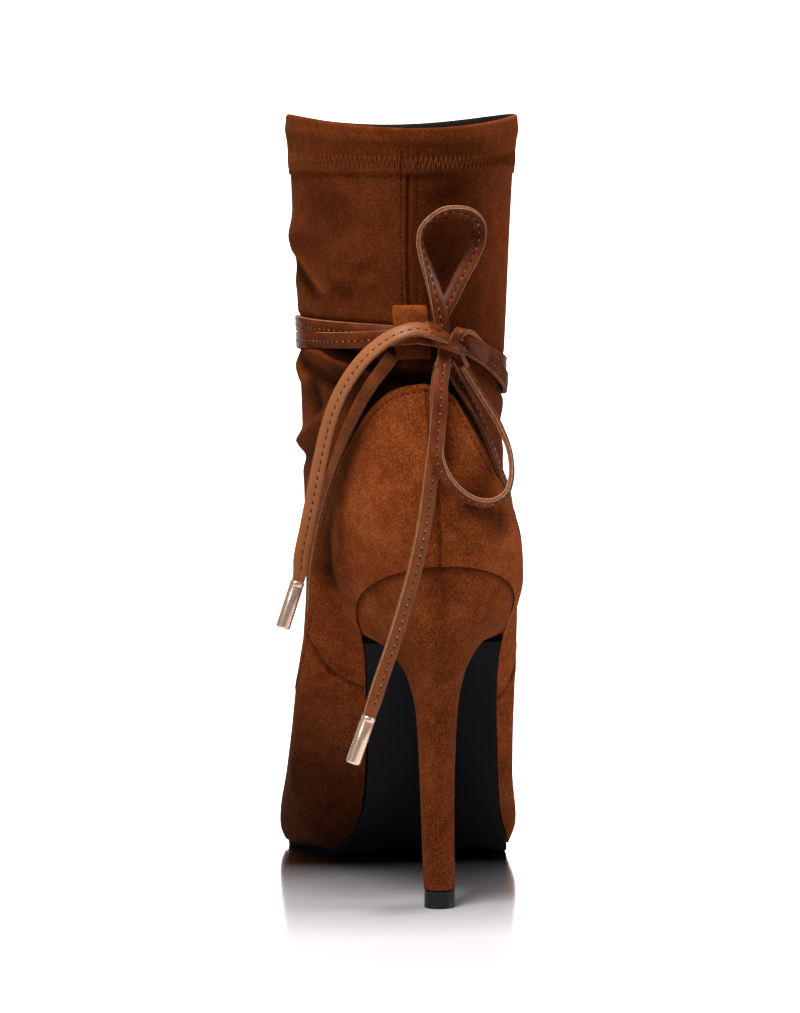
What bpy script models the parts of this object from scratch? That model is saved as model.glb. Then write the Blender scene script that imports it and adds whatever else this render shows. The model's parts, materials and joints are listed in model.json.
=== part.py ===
"""Stiletto ankle boot for the right foot: a suede shell over a sock-like shaft, tied with a leather lace.

The frame stands on the floor: the origin is under the middle of the heel tip, +Y points to the toe,
+X to the outer (lateral) side of the foot and +Z up. Sizes below are in millimetres.
"""

import math
from collections import namedtuple

import bmesh
import bpy
import numpy as np

MM = 0.001
FIT_GAP = 0.3

# Driving sizes
SEAT_BACK_Y = -19.0
TOE_TIP_Y = 204.0
BREAST_Y = 41.5
OUTSOLE_THICKNESS = 2.5
INSOLE_THICKNESS = 2.0
SHELL_WALL = 1.4
SOCK_WALL = 1.2
SOCK_LAP = 10.0
HEM_HEIGHT = 16.0
HEM_STEP = 0.7
RIM_WAVE = 2.2
HEEL_TIP_HEIGHT = 6.0
LACE_WIDTH = 5.3
LACE_THICKNESS = 1.6
AGLET_LENGTH = 16.5
AGLET_DIAMETER = 4.8
AGLET_CHAMFER = 0.35
AGLET_GAP = 0.8
SOLE_EDGE = 1.2
INSOLE_EDGE = -0.6
RIM_ROUNDING = 0.4

# Mesh divisions
AROUND = 60
SHELL_ROWS = 13
SHAFT_ROWS = 12
HEEL_AROUND = 40
PLATE_STEPS = 40
BAND_STEPS = 48
STRAP_STEPS = 18
ROUND_SIDES = 16
KNOT_ROWS = 7
LACE_STEP = 4.5
SMOOTH_ANGLE = 40.0
HALVINGS = 40
SLOPE_STEP = 0.05
NORMAL_STEP = 1e-3
HEM_EDGE_LEVELS = 0.02

# Underside of the foot in side view, from the seat to the toe: the ball rests flat on the tread.
FLOOR_LIFT = OUTSOLE_THICKNESS + FIT_GAP
BottomPoint = namedtuple("BottomPoint", "y z")
BOTTOM = (
    BottomPoint(SEAT_BACK_Y, 117.5),
    BottomPoint(0.0, 108.7),
    BottomPoint(20.0, 100.0),
    BottomPoint(40.0, 89.0),
    BottomPoint(55.0, 73.5),
    BottomPoint(75.0, 47.0),
    BottomPoint(92.0, 25.0),
    BottomPoint(106.0, 10.5),
    BottomPoint(120.0, FLOOR_LIFT),
    BottomPoint(158.0, FLOOR_LIFT),
    BottomPoint(182.0, 4.8),
    BottomPoint(TOE_TIP_Y, 9.0),
)

# Turns round the foot, from the back, at which the two plates end.
OUTSOLE_TIP_TURN = 176.0
INSOLE_TURNS = (5.0, 175.0)

# Rings of the last, from the feather line (level 0) up to the collar (level 8). Each runs from a
# point on the back curve to a point on the front ridge. Sag is its share of the underside's dip,
# and lean is how far its middle stands off the heel's axis.
Ring = namedtuple("Ring", "back_y back_z front_y front_z sag lean")
RINGS = (
    Ring(SEAT_BACK_Y, BOTTOM[0].z, TOE_TIP_Y, BOTTOM[-1].z, 1.00, -0.5),
    Ring(-22.5, 126.0, 199.5, 17.5, 0.95, -1.0),
    Ring(-24.5, 139.0, 173.0, 34.0, 0.80, -2.0),
    Ring(-24.0, 153.0, 143.0, 60.0, 0.55, -3.5),
    Ring(-20.5, 170.0, 115.0, 93.0, 0.30, -6.0),
    Ring(-16.5, 187.0, 93.0, 135.0, 0.12, -8.7),
    Ring(-14.5, 206.0, 77.0, 182.0, 0.03, -10.0),
    Ring(-16.0, 234.0, 69.0, 226.0, 0.00, -10.3),
    Ring(-18.5, 264.0, 65.0, 264.0, 0.00, -10.2),
)

# Half width of the oval that each ring follows at these stations along it, for either side.
STATIONS = (0.0, 0.12, 0.34, 0.50, 0.62, 0.74, 0.88, 1.0)
Oval = namedtuple("Oval", "back heel waist arch tread ball toe tip")
MEDIAL = (
    Oval(50.0, 37.0, 18.6, 14.5, 23.2, 40.5, 33.0, 15.0),
    Oval(53.0, 42.0, 26.0, 26.5, 34.5, 43.0, 32.0, 20.0),
    Oval(53.0, 43.5, 34.0, 36.5, 39.0, 40.5, 32.0, 27.0),
    Oval(47.0, 40.0, 35.5, 36.0, 36.5, 36.0, 33.0, 29.0),
    Oval(39.0, 35.0, 33.3, 33.3, 33.8, 33.8, 32.5, 30.0),
    Oval(33.5, 32.7, 32.7, 32.7, 33.2, 33.2, 32.5, 31.0),
    Oval(33.0, 33.5, 34.0, 34.0, 34.0, 34.0, 33.5, 33.0),
    Oval(35.5, 36.0, 36.2, 36.2, 36.2, 36.2, 36.0, 35.5),
    Oval(38.0, 38.2, 38.3, 38.3, 38.3, 38.3, 38.2, 38.0),
)
LATERAL = (
    Oval(50.0, 38.6, 27.9, 31.5, 39.0, 40.5, 31.0, 15.0),
    Oval(53.0, 42.5, 33.0, 36.0, 41.5, 43.3, 30.0, 20.0),
    Oval(53.0, 41.5, 34.2, 35.0, 36.8, 38.5, 31.0, 27.0),
    Oval(47.0, 36.0, 33.0, 35.0, 36.0, 36.0, 32.5, 29.0),
    Oval(39.0, 33.5, 33.0, 33.8, 34.5, 34.5, 32.5, 30.0),
    Oval(33.5, 33.2, 33.7, 34.2, 34.2, 33.7, 32.5, 31.0),
    Oval(33.0, 34.3, 35.6, 35.8, 35.8, 35.4, 34.2, 33.0),
    Oval(35.5, 36.3, 37.0, 37.0, 37.0, 36.8, 36.0, 35.5),
    Oval(38.0, 38.2, 38.3, 38.3, 38.3, 38.3, 38.2, 38.0),
)

# Level of the shell's topline round the foot: a rounded peak at the back, low at the sides, and a
# throat over the instep. Turn is in degrees from the back, by way of either side.
ToplinePoint = namedtuple("ToplinePoint", "turn medial lateral")
TOPLINE = (
    ToplinePoint(0.0, 4.42, 4.42),
    ToplinePoint(12.0, 4.40, 4.27),
    ToplinePoint(18.0, 4.36, 3.74),
    ToplinePoint(26.0, 4.23, 2.92),
    ToplinePoint(36.0, 4.00, 2.60),
    ToplinePoint(60.0, 3.25, 2.62),
    ToplinePoint(85.0, 2.80, 2.74),
    ToplinePoint(110.0, 2.95, 2.95),
    ToplinePoint(150.0, 3.70, 3.70),
    ToplinePoint(180.0, 3.95, 3.95),
)

# Sections of the heel from the seat down to the tip: the back line, the breast line, the middle and half
# width, and how round the section is, from the seat's own outline (0) to an ellipse (1).
HeelRing = namedtuple("HeelRing", "back_y back_z front_y front_z middle_x half_width roundness")
SEAT_HALF_WIDTH = 25.5
HEEL = (
    HeelRing(-20.0, 114.5, 41.3, 85.6, -0.5, 24.8, 0.05),
    HeelRing(-18.8, 107.0, 35.0, 83.5, -0.7, 20.6, 0.40),
    HeelRing(-16.4, 96.5, 27.0, 79.5, -0.9, 14.8, 0.80),
    HeelRing(-12.6, 84.5, 18.5, 72.5, -0.9, 9.6, 1.00),
    HeelRing(-9.0, 69.5, 12.5, 62.5, -0.8, 7.0, 1.00),
    HeelRing(-7.2, 49.0, 8.6, 46.5, -0.8, 6.0, 1.00),
    HeelRing(-6.0, 25.0, 6.6, 24.5, -0.5, 5.5, 1.00),
    HeelRing(-5.3, HEEL_TIP_HEIGHT + FIT_GAP, 5.3, HEEL_TIP_HEIGHT + FIT_GAP, 0.0, 5.3, 1.00),
)
CORNER_SHARPNESS = 30
HeelTipRing = namedtuple("HeelTipRing", "height radius")
HEEL_TIP = (
    HeelTipRing(HEEL_TIP_HEIGHT, 5.1),
    HeelTipRing(0.5, 5.2),
    HeelTipRing(0.0, 4.8),
)

# Keeper on the back seam: a strap with both ends sewn to the shaft and its middle arched over the lace.
SEAM_TURN = 3.5
KEEPER_WIDTH = 11.7
KEEPER_THICKNESS = 1.2
KeeperPoint = namedtuple("KeeperPoint", "height stand_off")
KEEPER = (
    KeeperPoint(203.0, 0.95),
    KeeperPoint(201.0, 0.95),
    KeeperPoint(199.3, 3.1),
    KeeperPoint(190.3, 3.1),
    KeeperPoint(188.6, 0.95),
    KeeperPoint(186.6, 0.95),
)

# Height of the two lace wraps round the ankle: they lie on each other behind the heel tendon.
LaceTurn = namedtuple("LaceTurn", "turn upper lower")
LACE_TURNS = (
    LaceTurn(0.0, 194.6, 193.6),
    LaceTurn(30.0, 195.8, 192.2),
    LaceTurn(90.0, 195.7, 189.4),
    LaceTurn(180.0, 188.0, 180.5),
    LaceTurn(270.0, 181.0, 173.5),
    LaceTurn(338.0, 192.0, 190.8),
    LaceTurn(360.0, 194.6, 193.6),
)

# The lace from the side of the topline up to the keeper: level of its middle on either side.
LaceRise = namedtuple("LaceRise", "turn medial lateral")
LACE_RISE = (
    LaceRise(17.0, 4.88, 4.74),
    LaceRise(28.0, 4.62, 4.00),
    LaceRise(36.0, 4.38, 3.50),
    LaceRise(42.0, 4.19, 3.22),
    LaceRise(60.0, 3.63, 3.06),
    LaceRise(72.0, 3.46, 3.10),
    LaceRise(86.0, 3.28, 3.16),
)

# Knot, bow and ends: places chosen along each free stretch, and the roll of the flat lace about its
# own path in degrees, where 0 shows its face from behind and 90 its edge.
KNOT_CENTRE = (1.1, -20.0, 190.3)
KNOT_HALF = (4.6, 3.3, 4.6)
LacePoint = namedtuple("LacePoint", "x y z roll")
LOOP_UPPER = (
    LacePoint(-1.6, -21.0, 196.0, 10),
    LacePoint(-3.2, -21.5, 203.6, 20),
    LacePoint(-5.4, -20.6, 212.6, 40),
    LacePoint(-8.0, -19.9, 220.2, 62),
    LacePoint(-9.2, -19.7, 225.1, 75),
    LacePoint(-8.4, -19.7, 229.4, 80),
    LacePoint(-5.7, -19.6, 232.6, 80),
    LacePoint(-1.7, -19.0, 235.2, 75),
    LacePoint(3.6, -17.8, 235.7, 70),
    LacePoint(8.6, -15.6, 233.9, 60),
    LacePoint(11.5, -13.8, 230.2, 45),
    LacePoint(11.6, -13.0, 225.6, 32),
    LacePoint(9.2, -13.4, 219.9, 25),
    LacePoint(5.1, -14.8, 212.7, 20),
    LacePoint(1.2, -17.0, 205.5, 15),
    LacePoint(-2.2, -18.6, 200.4, 10),
)
LOOP_LOWER = (
    LacePoint(-1.6, -22.2, 184.9, 5),
    LacePoint(-2.7, -24.8, 179.0, 5),
    LacePoint(-3.5, -27.6, 171.0, 5),
    LacePoint(-4.6, -30.6, 161.2, 15),
    LacePoint(-4.9, -32.2, 155.0, 35),
    LacePoint(-2.6, -33.0, 148.8, 52),
    LacePoint(2.0, -32.8, 143.4, 60),
    LacePoint(8.0, -31.4, 139.8, 62),
    LacePoint(13.8, -29.6, 139.3, 64),
    LacePoint(18.4, -27.0, 141.7, 68),
    LacePoint(21.0, -23.0, 147.3, 74),
    LacePoint(21.0, -19.8, 154.6, 78),
    LacePoint(18.0, -17.8, 163.3, 76),
    LacePoint(11.4, -17.6, 174.5, 72),
    LacePoint(5.4, -18.6, 184.2, 66),
)
END_MEDIAL = (
    LacePoint(-4.2, -22.0, 193.2, 60),
    LacePoint(-10.4, -23.5, 196.3, 62),
    LacePoint(-17.7, -23.5, 194.4, 50),
    LacePoint(-25.3, -21.0, 188.9, 32),
    LacePoint(-32.0, -16.0, 180.0, 22),
    LacePoint(-35.9, -12.0, 171.8, 15),
    LacePoint(-38.6, -9.0, 162.7, 10),
    LacePoint(-41.0, -7.0, 151.2, 8),
    LacePoint(-43.2, -5.5, 139.5, 6),
    LacePoint(-45.4, -4.5, 128.1, 4),
    LacePoint(-47.1, -4.0, 119.7, 2),
    LacePoint(-47.9, -4.0, 112.1, 0),
)
END_LATERAL = (
    LacePoint(-1.6, -18.6, 184.6, 5),
    LacePoint(-3.0, -21.2, 179.0, 5),
    LacePoint(-3.7, -24.6, 169.4, 5),
    LacePoint(-4.6, -27.2, 159.6, 8),
    LacePoint(-6.0, -28.4, 150.7, 10),
    LacePoint(-7.6, -28.8, 138.9, 10),
    LacePoint(-9.2, -28.8, 129.3, 10),
    LacePoint(-11.9, -28.8, 116.9, 8),
    LacePoint(-15.5, -28.8, 104.0, 6),
    LacePoint(-19.4, -28.8, 91.5, 4),
    LacePoint(-23.1, -28.8, 80.7, 2),
    LacePoint(-26.7, -28.8, 69.5, 0),
)
KNOT_CUT = 70.0
AGLET_END_MEDIAL = (-53.0, -4.0, 96.5)
AGLET_END_LATERAL = (-32.6, -28.8, 52.8)


def smooth(knots, values, at):
    """Cubic curve through the values that adds no humps between them and runs straight past both ends.

    Values may hold one column, or one column for each place in at.
    """
    knots = np.asarray(knots, float)
    at = np.atleast_1d(np.asarray(at, float))
    values = np.asarray(values, float).reshape(len(knots), -1)
    values = np.broadcast_to(values, (len(knots), len(at)))
    spans = np.diff(knots)[:, None]
    slopes = np.diff(values, axis=0) / spans
    before, after = slopes[:-1], slopes[1:]
    near, far = 2 * spans[1:] + spans[:-1], spans[1:] + 2 * spans[:-1]
    same_way = before * after > 0
    safe_before = np.where(same_way, before, 1.0)
    safe_after = np.where(same_way, after, 1.0)
    inner = np.where(same_way, (near + far) / (near / safe_before + far / safe_after), 0.0)
    tangents = np.vstack([slopes[:1], inner, slopes[-1:]])
    piece = np.clip(np.searchsorted(knots, at, side="right") - 1, 0, len(knots) - 2)
    column = np.arange(len(at))
    span = spans[piece, 0]
    place = (at - knots[piece]) / span
    t = np.clip(place, 0.0, 1.0)
    start, end = values[piece, column], values[piece + 1, column]
    start_tangent, end_tangent = tangents[piece, column], tangents[piece + 1, column]
    curve = start + (end - start) * t * t * (3 - 2 * t)
    curve += span * t * (1 - t) * ((1 - t) * start_tangent - t * end_tangent)
    past = (place - t) * span
    return curve + past * np.where(place < 0, start_tangent, end_tangent)


def bottom_z(y):
    return smooth([p.y for p in BOTTOM], [p.z for p in BOTTOM], y)


def bottom_slope(y):
    y = np.asarray(y)
    rise = bottom_z(y + SLOPE_STEP) - bottom_z(y - SLOPE_STEP)
    return rise / (2 * SLOPE_STEP)


def by_level(rows, field, level):
    return smooth(range(len(rows)), [getattr(row, field) for row in rows], level)


def last_point(turn, level):
    """Point of the last's surface: turn in radians from the back by the medial side, and ring level."""
    turn, level = np.broadcast_arrays(np.asarray(turn, float), np.asarray(level, float))
    ring = {field: by_level(RINGS, field, level) for field in Ring._fields}
    along = (1 - np.cos(turn)) / 2
    medial = smooth(STATIONS, [by_level(MEDIAL, field, level) for field in Oval._fields], along)
    lateral = smooth(STATIONS, [by_level(LATERAL, field, level) for field in Oval._fields], along)
    side = np.sin(turn)
    x = ring["lean"] - side * np.where(side > 0, medial, lateral)
    y = ring["back_y"] + along * (ring["front_y"] - ring["back_y"])
    foot_y = SEAT_BACK_Y + along * (TOE_TIP_Y - SEAT_BACK_Y)
    dip = bottom_z(foot_y) - (BOTTOM[0].z + along * (BOTTOM[-1].z - BOTTOM[0].z))
    z = ring["back_z"] + along * (ring["front_z"] - ring["back_z"]) + ring["sag"] * dip
    rim_share = np.clip(level - (len(RINGS) - 2), 0, 1) ** 2
    z = z - rim_share * RIM_WAVE * np.cos(2 * turn)
    return np.stack([x, y, z], axis=-1)


def last_normal(turn, level):
    up = last_point(turn, level + NORMAL_STEP) - last_point(turn, level - NORMAL_STEP)
    round_ = last_point(turn + NORMAL_STEP, level) - last_point(turn - NORMAL_STEP, level)
    normal = np.cross(up, round_)
    return normal / np.linalg.norm(normal, axis=-1, keepdims=True)


def on_last(turn, level, offset):
    """Points at a distance outside the last's surface."""
    turn = np.asarray(turn, float)
    level = np.broadcast_to(np.asarray(level, float), turn.shape)
    return last_point(turn, level) + last_normal(turn, level) * np.asarray(offset, float)[..., None]


def feather_point(turn, offset):
    """Point of the feather line, moved out sideways and kept on the underside's surface."""
    point = last_point(turn, np.zeros_like(turn))
    normal = last_normal(turn, np.full_like(turn, 10 * NORMAL_STEP))
    flat = normal[:, :2] / np.linalg.norm(normal[:, :2], axis=1, keepdims=True)
    point[:, :2] += flat * offset
    point[:, 2] = bottom_z(point[:, 1])
    return point


def level_at_height(turn, height):
    """Level of the last's surface at a height, above the topline."""
    low = np.full_like(turn, 2.0)
    high = np.full_like(turn, len(RINGS) - 1.0)
    for _ in range(HALVINGS):
        middle = (low + high) / 2
        below = last_point(turn, middle)[:, 2] < height
        low = np.where(below, middle, low)
        high = np.where(below, high, middle)
    return (low + high) / 2


def topline_level(turn):
    signed = np.degrees((turn + math.pi) % (2 * math.pi) - math.pi)
    turns = [point.turn for point in TOPLINE]
    medial = smooth(turns, [point.medial for point in TOPLINE], np.abs(signed))
    lateral = smooth(turns, [point.lateral for point in TOPLINE], np.abs(signed))
    return np.where(signed > 0, medial, lateral)


def ring_turns(count):
    return np.arange(count) * 2 * math.pi / count


def material(name, colour, roughness, metallic=0.0):
    finish = bpy.data.materials.new(name)
    finish.use_nodes = True
    shader = finish.node_tree.nodes["Principled BSDF"]
    shader.inputs["Base Color"].default_value = (*colour, 1.0)
    shader.inputs["Roughness"].default_value = roughness
    shader.inputs["Metallic"].default_value = metallic
    finish.diffuse_color = (*colour, 1.0)
    return finish


def loft(name, loops, finish, closed=False):
    """Solid through loops of points in millimetres: joined end to start, or with its two ends filled.

    An end is filled with strips across, from each point to its mirror point in the loop.
    """
    work = bmesh.new()
    rows = [[work.verts.new(point * MM) for point in loop] for loop in loops]
    count = len(rows[0])
    pairs = list(zip(rows, rows[1:]))
    if closed:
        pairs.append((rows[-1], rows[0]))
    for lower, upper in pairs:
        for i in range(count):
            after = (i + 1) % count
            work.faces.new((lower[i], lower[after], upper[after], upper[i]))
    if not closed:
        for row in (rows[0], rows[-1]):
            fill_end(work, row)
    bmesh.ops.recalc_face_normals(work, faces=work.faces)
    mesh = bpy.data.meshes.new(name)
    work.to_mesh(mesh)
    work.free()
    mesh.shade_smooth()
    mesh.set_sharp_from_angle(angle=math.radians(SMOOTH_ANGLE))
    mesh.materials.append(finish)
    solid = bpy.data.objects.new(name, mesh)
    bpy.context.scene.collection.objects.link(solid)
    return solid


def fill_end(work, row):
    count = len(row)
    for i in range(count // 2):
        corners = [row[i], row[i + 1], row[count - 1 - i], row[(count - i) % count]]
        single = list(dict.fromkeys(corners))
        if len(single) > 2:
            work.faces.new(single)


def make_upper(suede):
    """Shell of vamp, quarters and counter, open underneath and along its topline."""
    turn = ring_turns(AROUND)
    top = topline_level(turn)
    rows = []
    outside = (FIT_GAP + SHELL_WALL, range(SHELL_ROWS + 1))
    inside = (FIT_GAP, range(SHELL_ROWS, -1, -1))
    for wall, order in (outside, inside):
        offset = np.full(AROUND, wall)
        for row in order:
            if row == 0:
                rows.append(feather_point(turn, offset[:, None]) + (0.0, 0.0, FIT_GAP))
            else:
                rows.append(on_last(turn, top * row / SHELL_ROWS, offset))
    return loft("upper", rows, suede, closed=True)


def make_shaft(suede):
    """Sock-like tube of the ankle: its lower edge laps inside the shell and its hem is a step thicker."""
    turn = ring_turns(AROUND)
    collar = np.full(AROUND, len(RINGS) - 1.0)
    lap = SOCK_LAP / (RINGS[4].back_z - RINGS[3].back_z)
    low = topline_level(turn) - lap
    hem = collar - HEM_HEIGHT / (RINGS[8].back_z - RINGS[7].back_z)
    below_hem, below_rim = hem - HEM_EDGE_LEVELS, collar - HEM_EDGE_LEVELS
    shares = np.linspace(0, 1, SHAFT_ROWS + 1)
    outside = [(low + (below_hem - low) * share, 0.0) for share in shares]
    outside += [(hem, HEM_STEP), ((hem + collar) / 2, HEM_STEP), (below_rim, HEM_STEP)]
    rim = [(collar, HEM_STEP - RIM_ROUNDING), (collar, RIM_ROUNDING - SOCK_WALL)]
    inside = [(low + (below_rim - low) * share, -SOCK_WALL) for share in shares[::-1]]
    sections = outside + rim + inside
    rows = [on_last(turn, level, np.full(AROUND, offset)) for level, offset in sections]
    return loft("shaft", rows, suede, closed=True)


def plate_loops(turns, offset, top_drop, thickness):
    """Four-cornered sections of a plate that follows the underside: its top lies a drop below that surface.

    The first section stands upright, so that the plate can butt against a wall.
    """
    loops = []
    for angle in turns:
        ends = feather_point(np.array([angle, -angle]), offset)
        slope = bottom_slope(ends[:, 1])
        length = np.sqrt(1 + slope**2)
        down = np.stack([np.zeros(2), slope / length, -1 / length], axis=1)
        upright = np.stack([np.zeros(2), np.zeros(2), -length], axis=1)
        way = down if loops else upright
        top = ends + way * top_drop
        base = top + way * thickness
        loops.append([top[0], top[1], base[1], base[0]])
    return loops


def turn_at_y(y):
    return np.arccos(1 - 2 * (y - SEAT_BACK_Y) / (TOE_TIP_Y - SEAT_BACK_Y))


def make_outsole(rubber):
    first, last = turn_at_y(BREAST_Y + 2 * FIT_GAP), math.radians(OUTSOLE_TIP_TURN)
    turns = np.linspace(first, last, PLATE_STEPS)
    return loft("outsole", plate_loops(turns, SOLE_EDGE, FIT_GAP, OUTSOLE_THICKNESS), rubber)


def make_insole(board):
    turns = np.radians(np.linspace(*INSOLE_TURNS, PLATE_STEPS))
    return loft("insole", plate_loops(turns, INSOLE_EDGE, -FIT_GAP, -INSOLE_THICKNESS), board)


def heel_loop(ring, turn):
    """One section of the heel, from its back round to its breast."""
    along = (1 - np.cos(turn)) / 2
    y = ring.back_y + along * (ring.front_y - ring.back_y)
    z = ring.back_z + along * (ring.front_z - ring.back_z)
    seat_y = SEAT_BACK_Y + along * (BREAST_Y - SEAT_BACK_Y)
    seat_turn = np.maximum(turn_at_y(seat_y), 0.01)
    side = np.where(np.sin(turn) > 0, 1.0, -1.0)
    corner = np.sqrt(np.clip(1 - along**CORNER_SHARPNESS, 0, 1))
    seat_half = (feather_point(seat_turn * side, SOLE_EDGE)[:, 0] - RINGS[0].lean) * corner
    seat_half = np.where((along > 1e-9) & (along < 1 - 1e-9), seat_half, 0.0)
    ellipse = -ring.half_width * np.sin(turn)
    drawn_in = seat_half * ring.half_width / SEAT_HALF_WIDTH
    x = ring.middle_x + (1 - ring.roundness) * drawn_in + ring.roundness * ellipse
    return np.stack([x, y, z], axis=1)


def make_heel(suede):
    """Slim covered heel whose top is cupped to the seat."""
    turn = ring_turns(HEEL_AROUND)
    outline = HeelRing(SEAT_BACK_Y - SOLE_EDGE, 0.0, BREAST_Y, 0.0, RINGS[0].lean, SEAT_HALF_WIDTH, 0.0)
    seat = heel_loop(outline, turn)
    seat[:, 2] = bottom_z(seat[:, 1]) - FIT_GAP
    loops = [seat]
    for level in np.linspace(0, len(HEEL) - 1, 2 * len(HEEL) - 1):
        row = [by_level(HEEL, field, level)[0] for field in HeelRing._fields]
        loops.append(heel_loop(HeelRing(*row), turn))
    return loft("heel", loops, suede)


def make_heel_tip(plastic):
    """Hard top piece under the heel, with a small chamfer at the floor."""
    turn = ring_turns(HEEL_AROUND)
    loops = []
    for height, radius in HEEL_TIP:
        circle = [-radius * np.sin(turn), -radius * np.cos(turn), np.full(HEEL_AROUND, height)]
        loops.append(np.stack(circle, axis=1))
    return loft("heel_tip", loops, plastic)


def ribbon_loops(path, faces, width, thickness, closed=False):
    """Flat sections across a path, each square to it, with the given face directions."""
    if closed:
        ahead, behind = np.roll(path, -1, axis=0), np.roll(path, 1, axis=0)
    else:
        ahead, behind = np.vstack([path[1:], path[-1:]]), np.vstack([path[:1], path[:-1]])
    way = unit(ahead - behind)
    across = unit(np.cross(faces, way))
    out = np.cross(way, across)
    half_width, half_thick = across * width / 2, out * thickness / 2
    near, far = half_width - half_thick, half_width + half_thick
    corners = np.stack([path - far, path + near, path + far, path - near], axis=1)
    return list(corners)


def unit(vectors):
    return vectors / np.linalg.norm(vectors, axis=-1, keepdims=True)


def make_keeper(suede):
    heights = np.array([point.height for point in KEEPER])
    turn = np.full(len(KEEPER), math.radians(SEAM_TURN))
    middle = on_last(turn, level_at_height(turn, heights), np.array([point.stand_off for point in KEEPER]))
    faces = np.tile((0.0, -1.0, 0.0), (len(KEEPER), 1))
    return loft("keeper_loop", ribbon_loops(middle, faces, KEEPER_WIDTH, KEEPER_THICKNESS), suede)


def lace_band(name, field, leather):
    """One turn of the lace round the ankle."""
    turn = ring_turns(BAND_STEPS)
    turns = [row.turn for row in LACE_TURNS]
    heights = smooth(turns, [getattr(row, field) for row in LACE_TURNS], np.degrees(turn))
    level = level_at_height(turn, heights)
    path = on_last(turn, level, np.full(BAND_STEPS, FIT_GAP + LACE_THICKNESS / 2))
    loops = ribbon_loops(path, last_normal(turn, level), LACE_WIDTH, LACE_THICKNESS, closed=True)
    return loft(name, loops, leather, closed=True)


def make_lace_wraps(leather):
    """Both turns of the lace, joined where they cross behind the ankle."""
    wraps = lace_band("lace_wraps", "upper", leather)
    second = lace_band("lace_wrap_second", "lower", leather)
    second.hide_render = True
    second.display_type = "WIRE"
    join = wraps.modifiers.new("join_turns", "BOOLEAN")
    join.operation = "UNION"
    join.object = second
    return wraps


def make_lace_strap(name, side, leather):
    """The lace from the topline's low point up beside the counter: side is 1 for medial, -1 for lateral."""
    turn = np.radians(np.linspace(LACE_RISE[0].turn, LACE_RISE[-1].turn, STRAP_STEPS))
    turns = [row.turn for row in LACE_RISE]
    levels = [row.medial if side > 0 else row.lateral for row in LACE_RISE]
    level = smooth(turns, levels, np.degrees(turn))
    path = on_last(side * turn, level, np.full(len(turn), FIT_GAP + LACE_THICKNESS / 2))
    loops = ribbon_loops(path, last_normal(side * turn, level), LACE_WIDTH, LACE_THICKNESS)
    return loft(name, loops, leather)


def through(points, step):
    """Smooth curve through rows of numbers whose first three are a place, read at an even step."""
    points = np.asarray(points, float)
    chords = np.linalg.norm(np.diff(points[:, :3], axis=0), axis=1)
    knots = np.concatenate([[0.0], np.cumsum(chords)])
    tangents = np.gradient(points, knots, axis=0)
    count = max(2, int(round(knots[-1] / step)))
    places = np.linspace(0, knots[-1], count + 1)
    piece = np.clip(np.searchsorted(knots, places, side="right") - 1, 0, len(knots) - 2)
    span = (knots[piece + 1] - knots[piece])[:, None]
    t = ((places - knots[piece])[:, None]) / span
    start, end = points[piece], points[piece + 1]
    curve = start + (end - start) * t * t * (3 - 2 * t)
    return curve + span * t * (1 - t) * ((1 - t) * tangents[piece] - t * tangents[piece + 1])


def make_free_lace(name, route, leather):
    """A free stretch of the lace along its route."""
    rows = through(route, LACE_STEP)
    path, roll = rows[:, :3], np.radians(rows[:, 3:])
    way = unit(np.gradient(path, axis=0))
    behind = np.array((0.0, -1.0, 0.0))
    face = unit(behind - way * (way @ behind)[:, None])
    faces = face * np.cos(roll) + np.cross(way, face) * np.sin(roll)
    return loft(name, ribbon_loops(path, faces, LACE_WIDTH, LACE_THICKNESS), leather)


def make_knot(leather):
    """Plain rounded form of the tied knot."""
    turn = ring_turns(ROUND_SIDES)
    cut = math.radians(KNOT_CUT)
    loops = []
    for rise in np.linspace(-cut, cut, KNOT_ROWS):
        x = KNOT_HALF[0] * np.cos(rise) * np.sin(turn)
        y = KNOT_HALF[1] * np.cos(rise) * np.cos(turn)
        z = np.full_like(turn, KNOT_HALF[2] * np.sin(rise) / np.sin(cut))
        loops.append(np.stack([x, y, z], axis=1) + KNOT_CENTRE)
    return loft("lace_knot", loops, leather)


def make_aglet(name, route, end, metal):
    """Metal tip of a lace end: a tube with a small chamfer at its foot."""
    end = np.array(end)
    last = np.array(route[-1][:3])
    way = unit(end - last)
    side = unit(np.cross(way, (0.0, 1.0, 0.0)))
    other = np.cross(way, side)
    turn = ring_turns(ROUND_SIDES)
    circle = np.cos(turn)[:, None] * side + np.sin(turn)[:, None] * other
    radius = AGLET_DIAMETER / 2
    foot = AGLET_GAP + AGLET_LENGTH
    rings = (
        (AGLET_GAP, radius - AGLET_CHAMFER),
        (AGLET_GAP + AGLET_CHAMFER, radius),
        (foot - AGLET_CHAMFER, radius),
        (foot, radius - AGLET_CHAMFER),
    )
    loops = [last + way * along + circle * size for along, size in rings]
    return loft(name, loops, metal)


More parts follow.
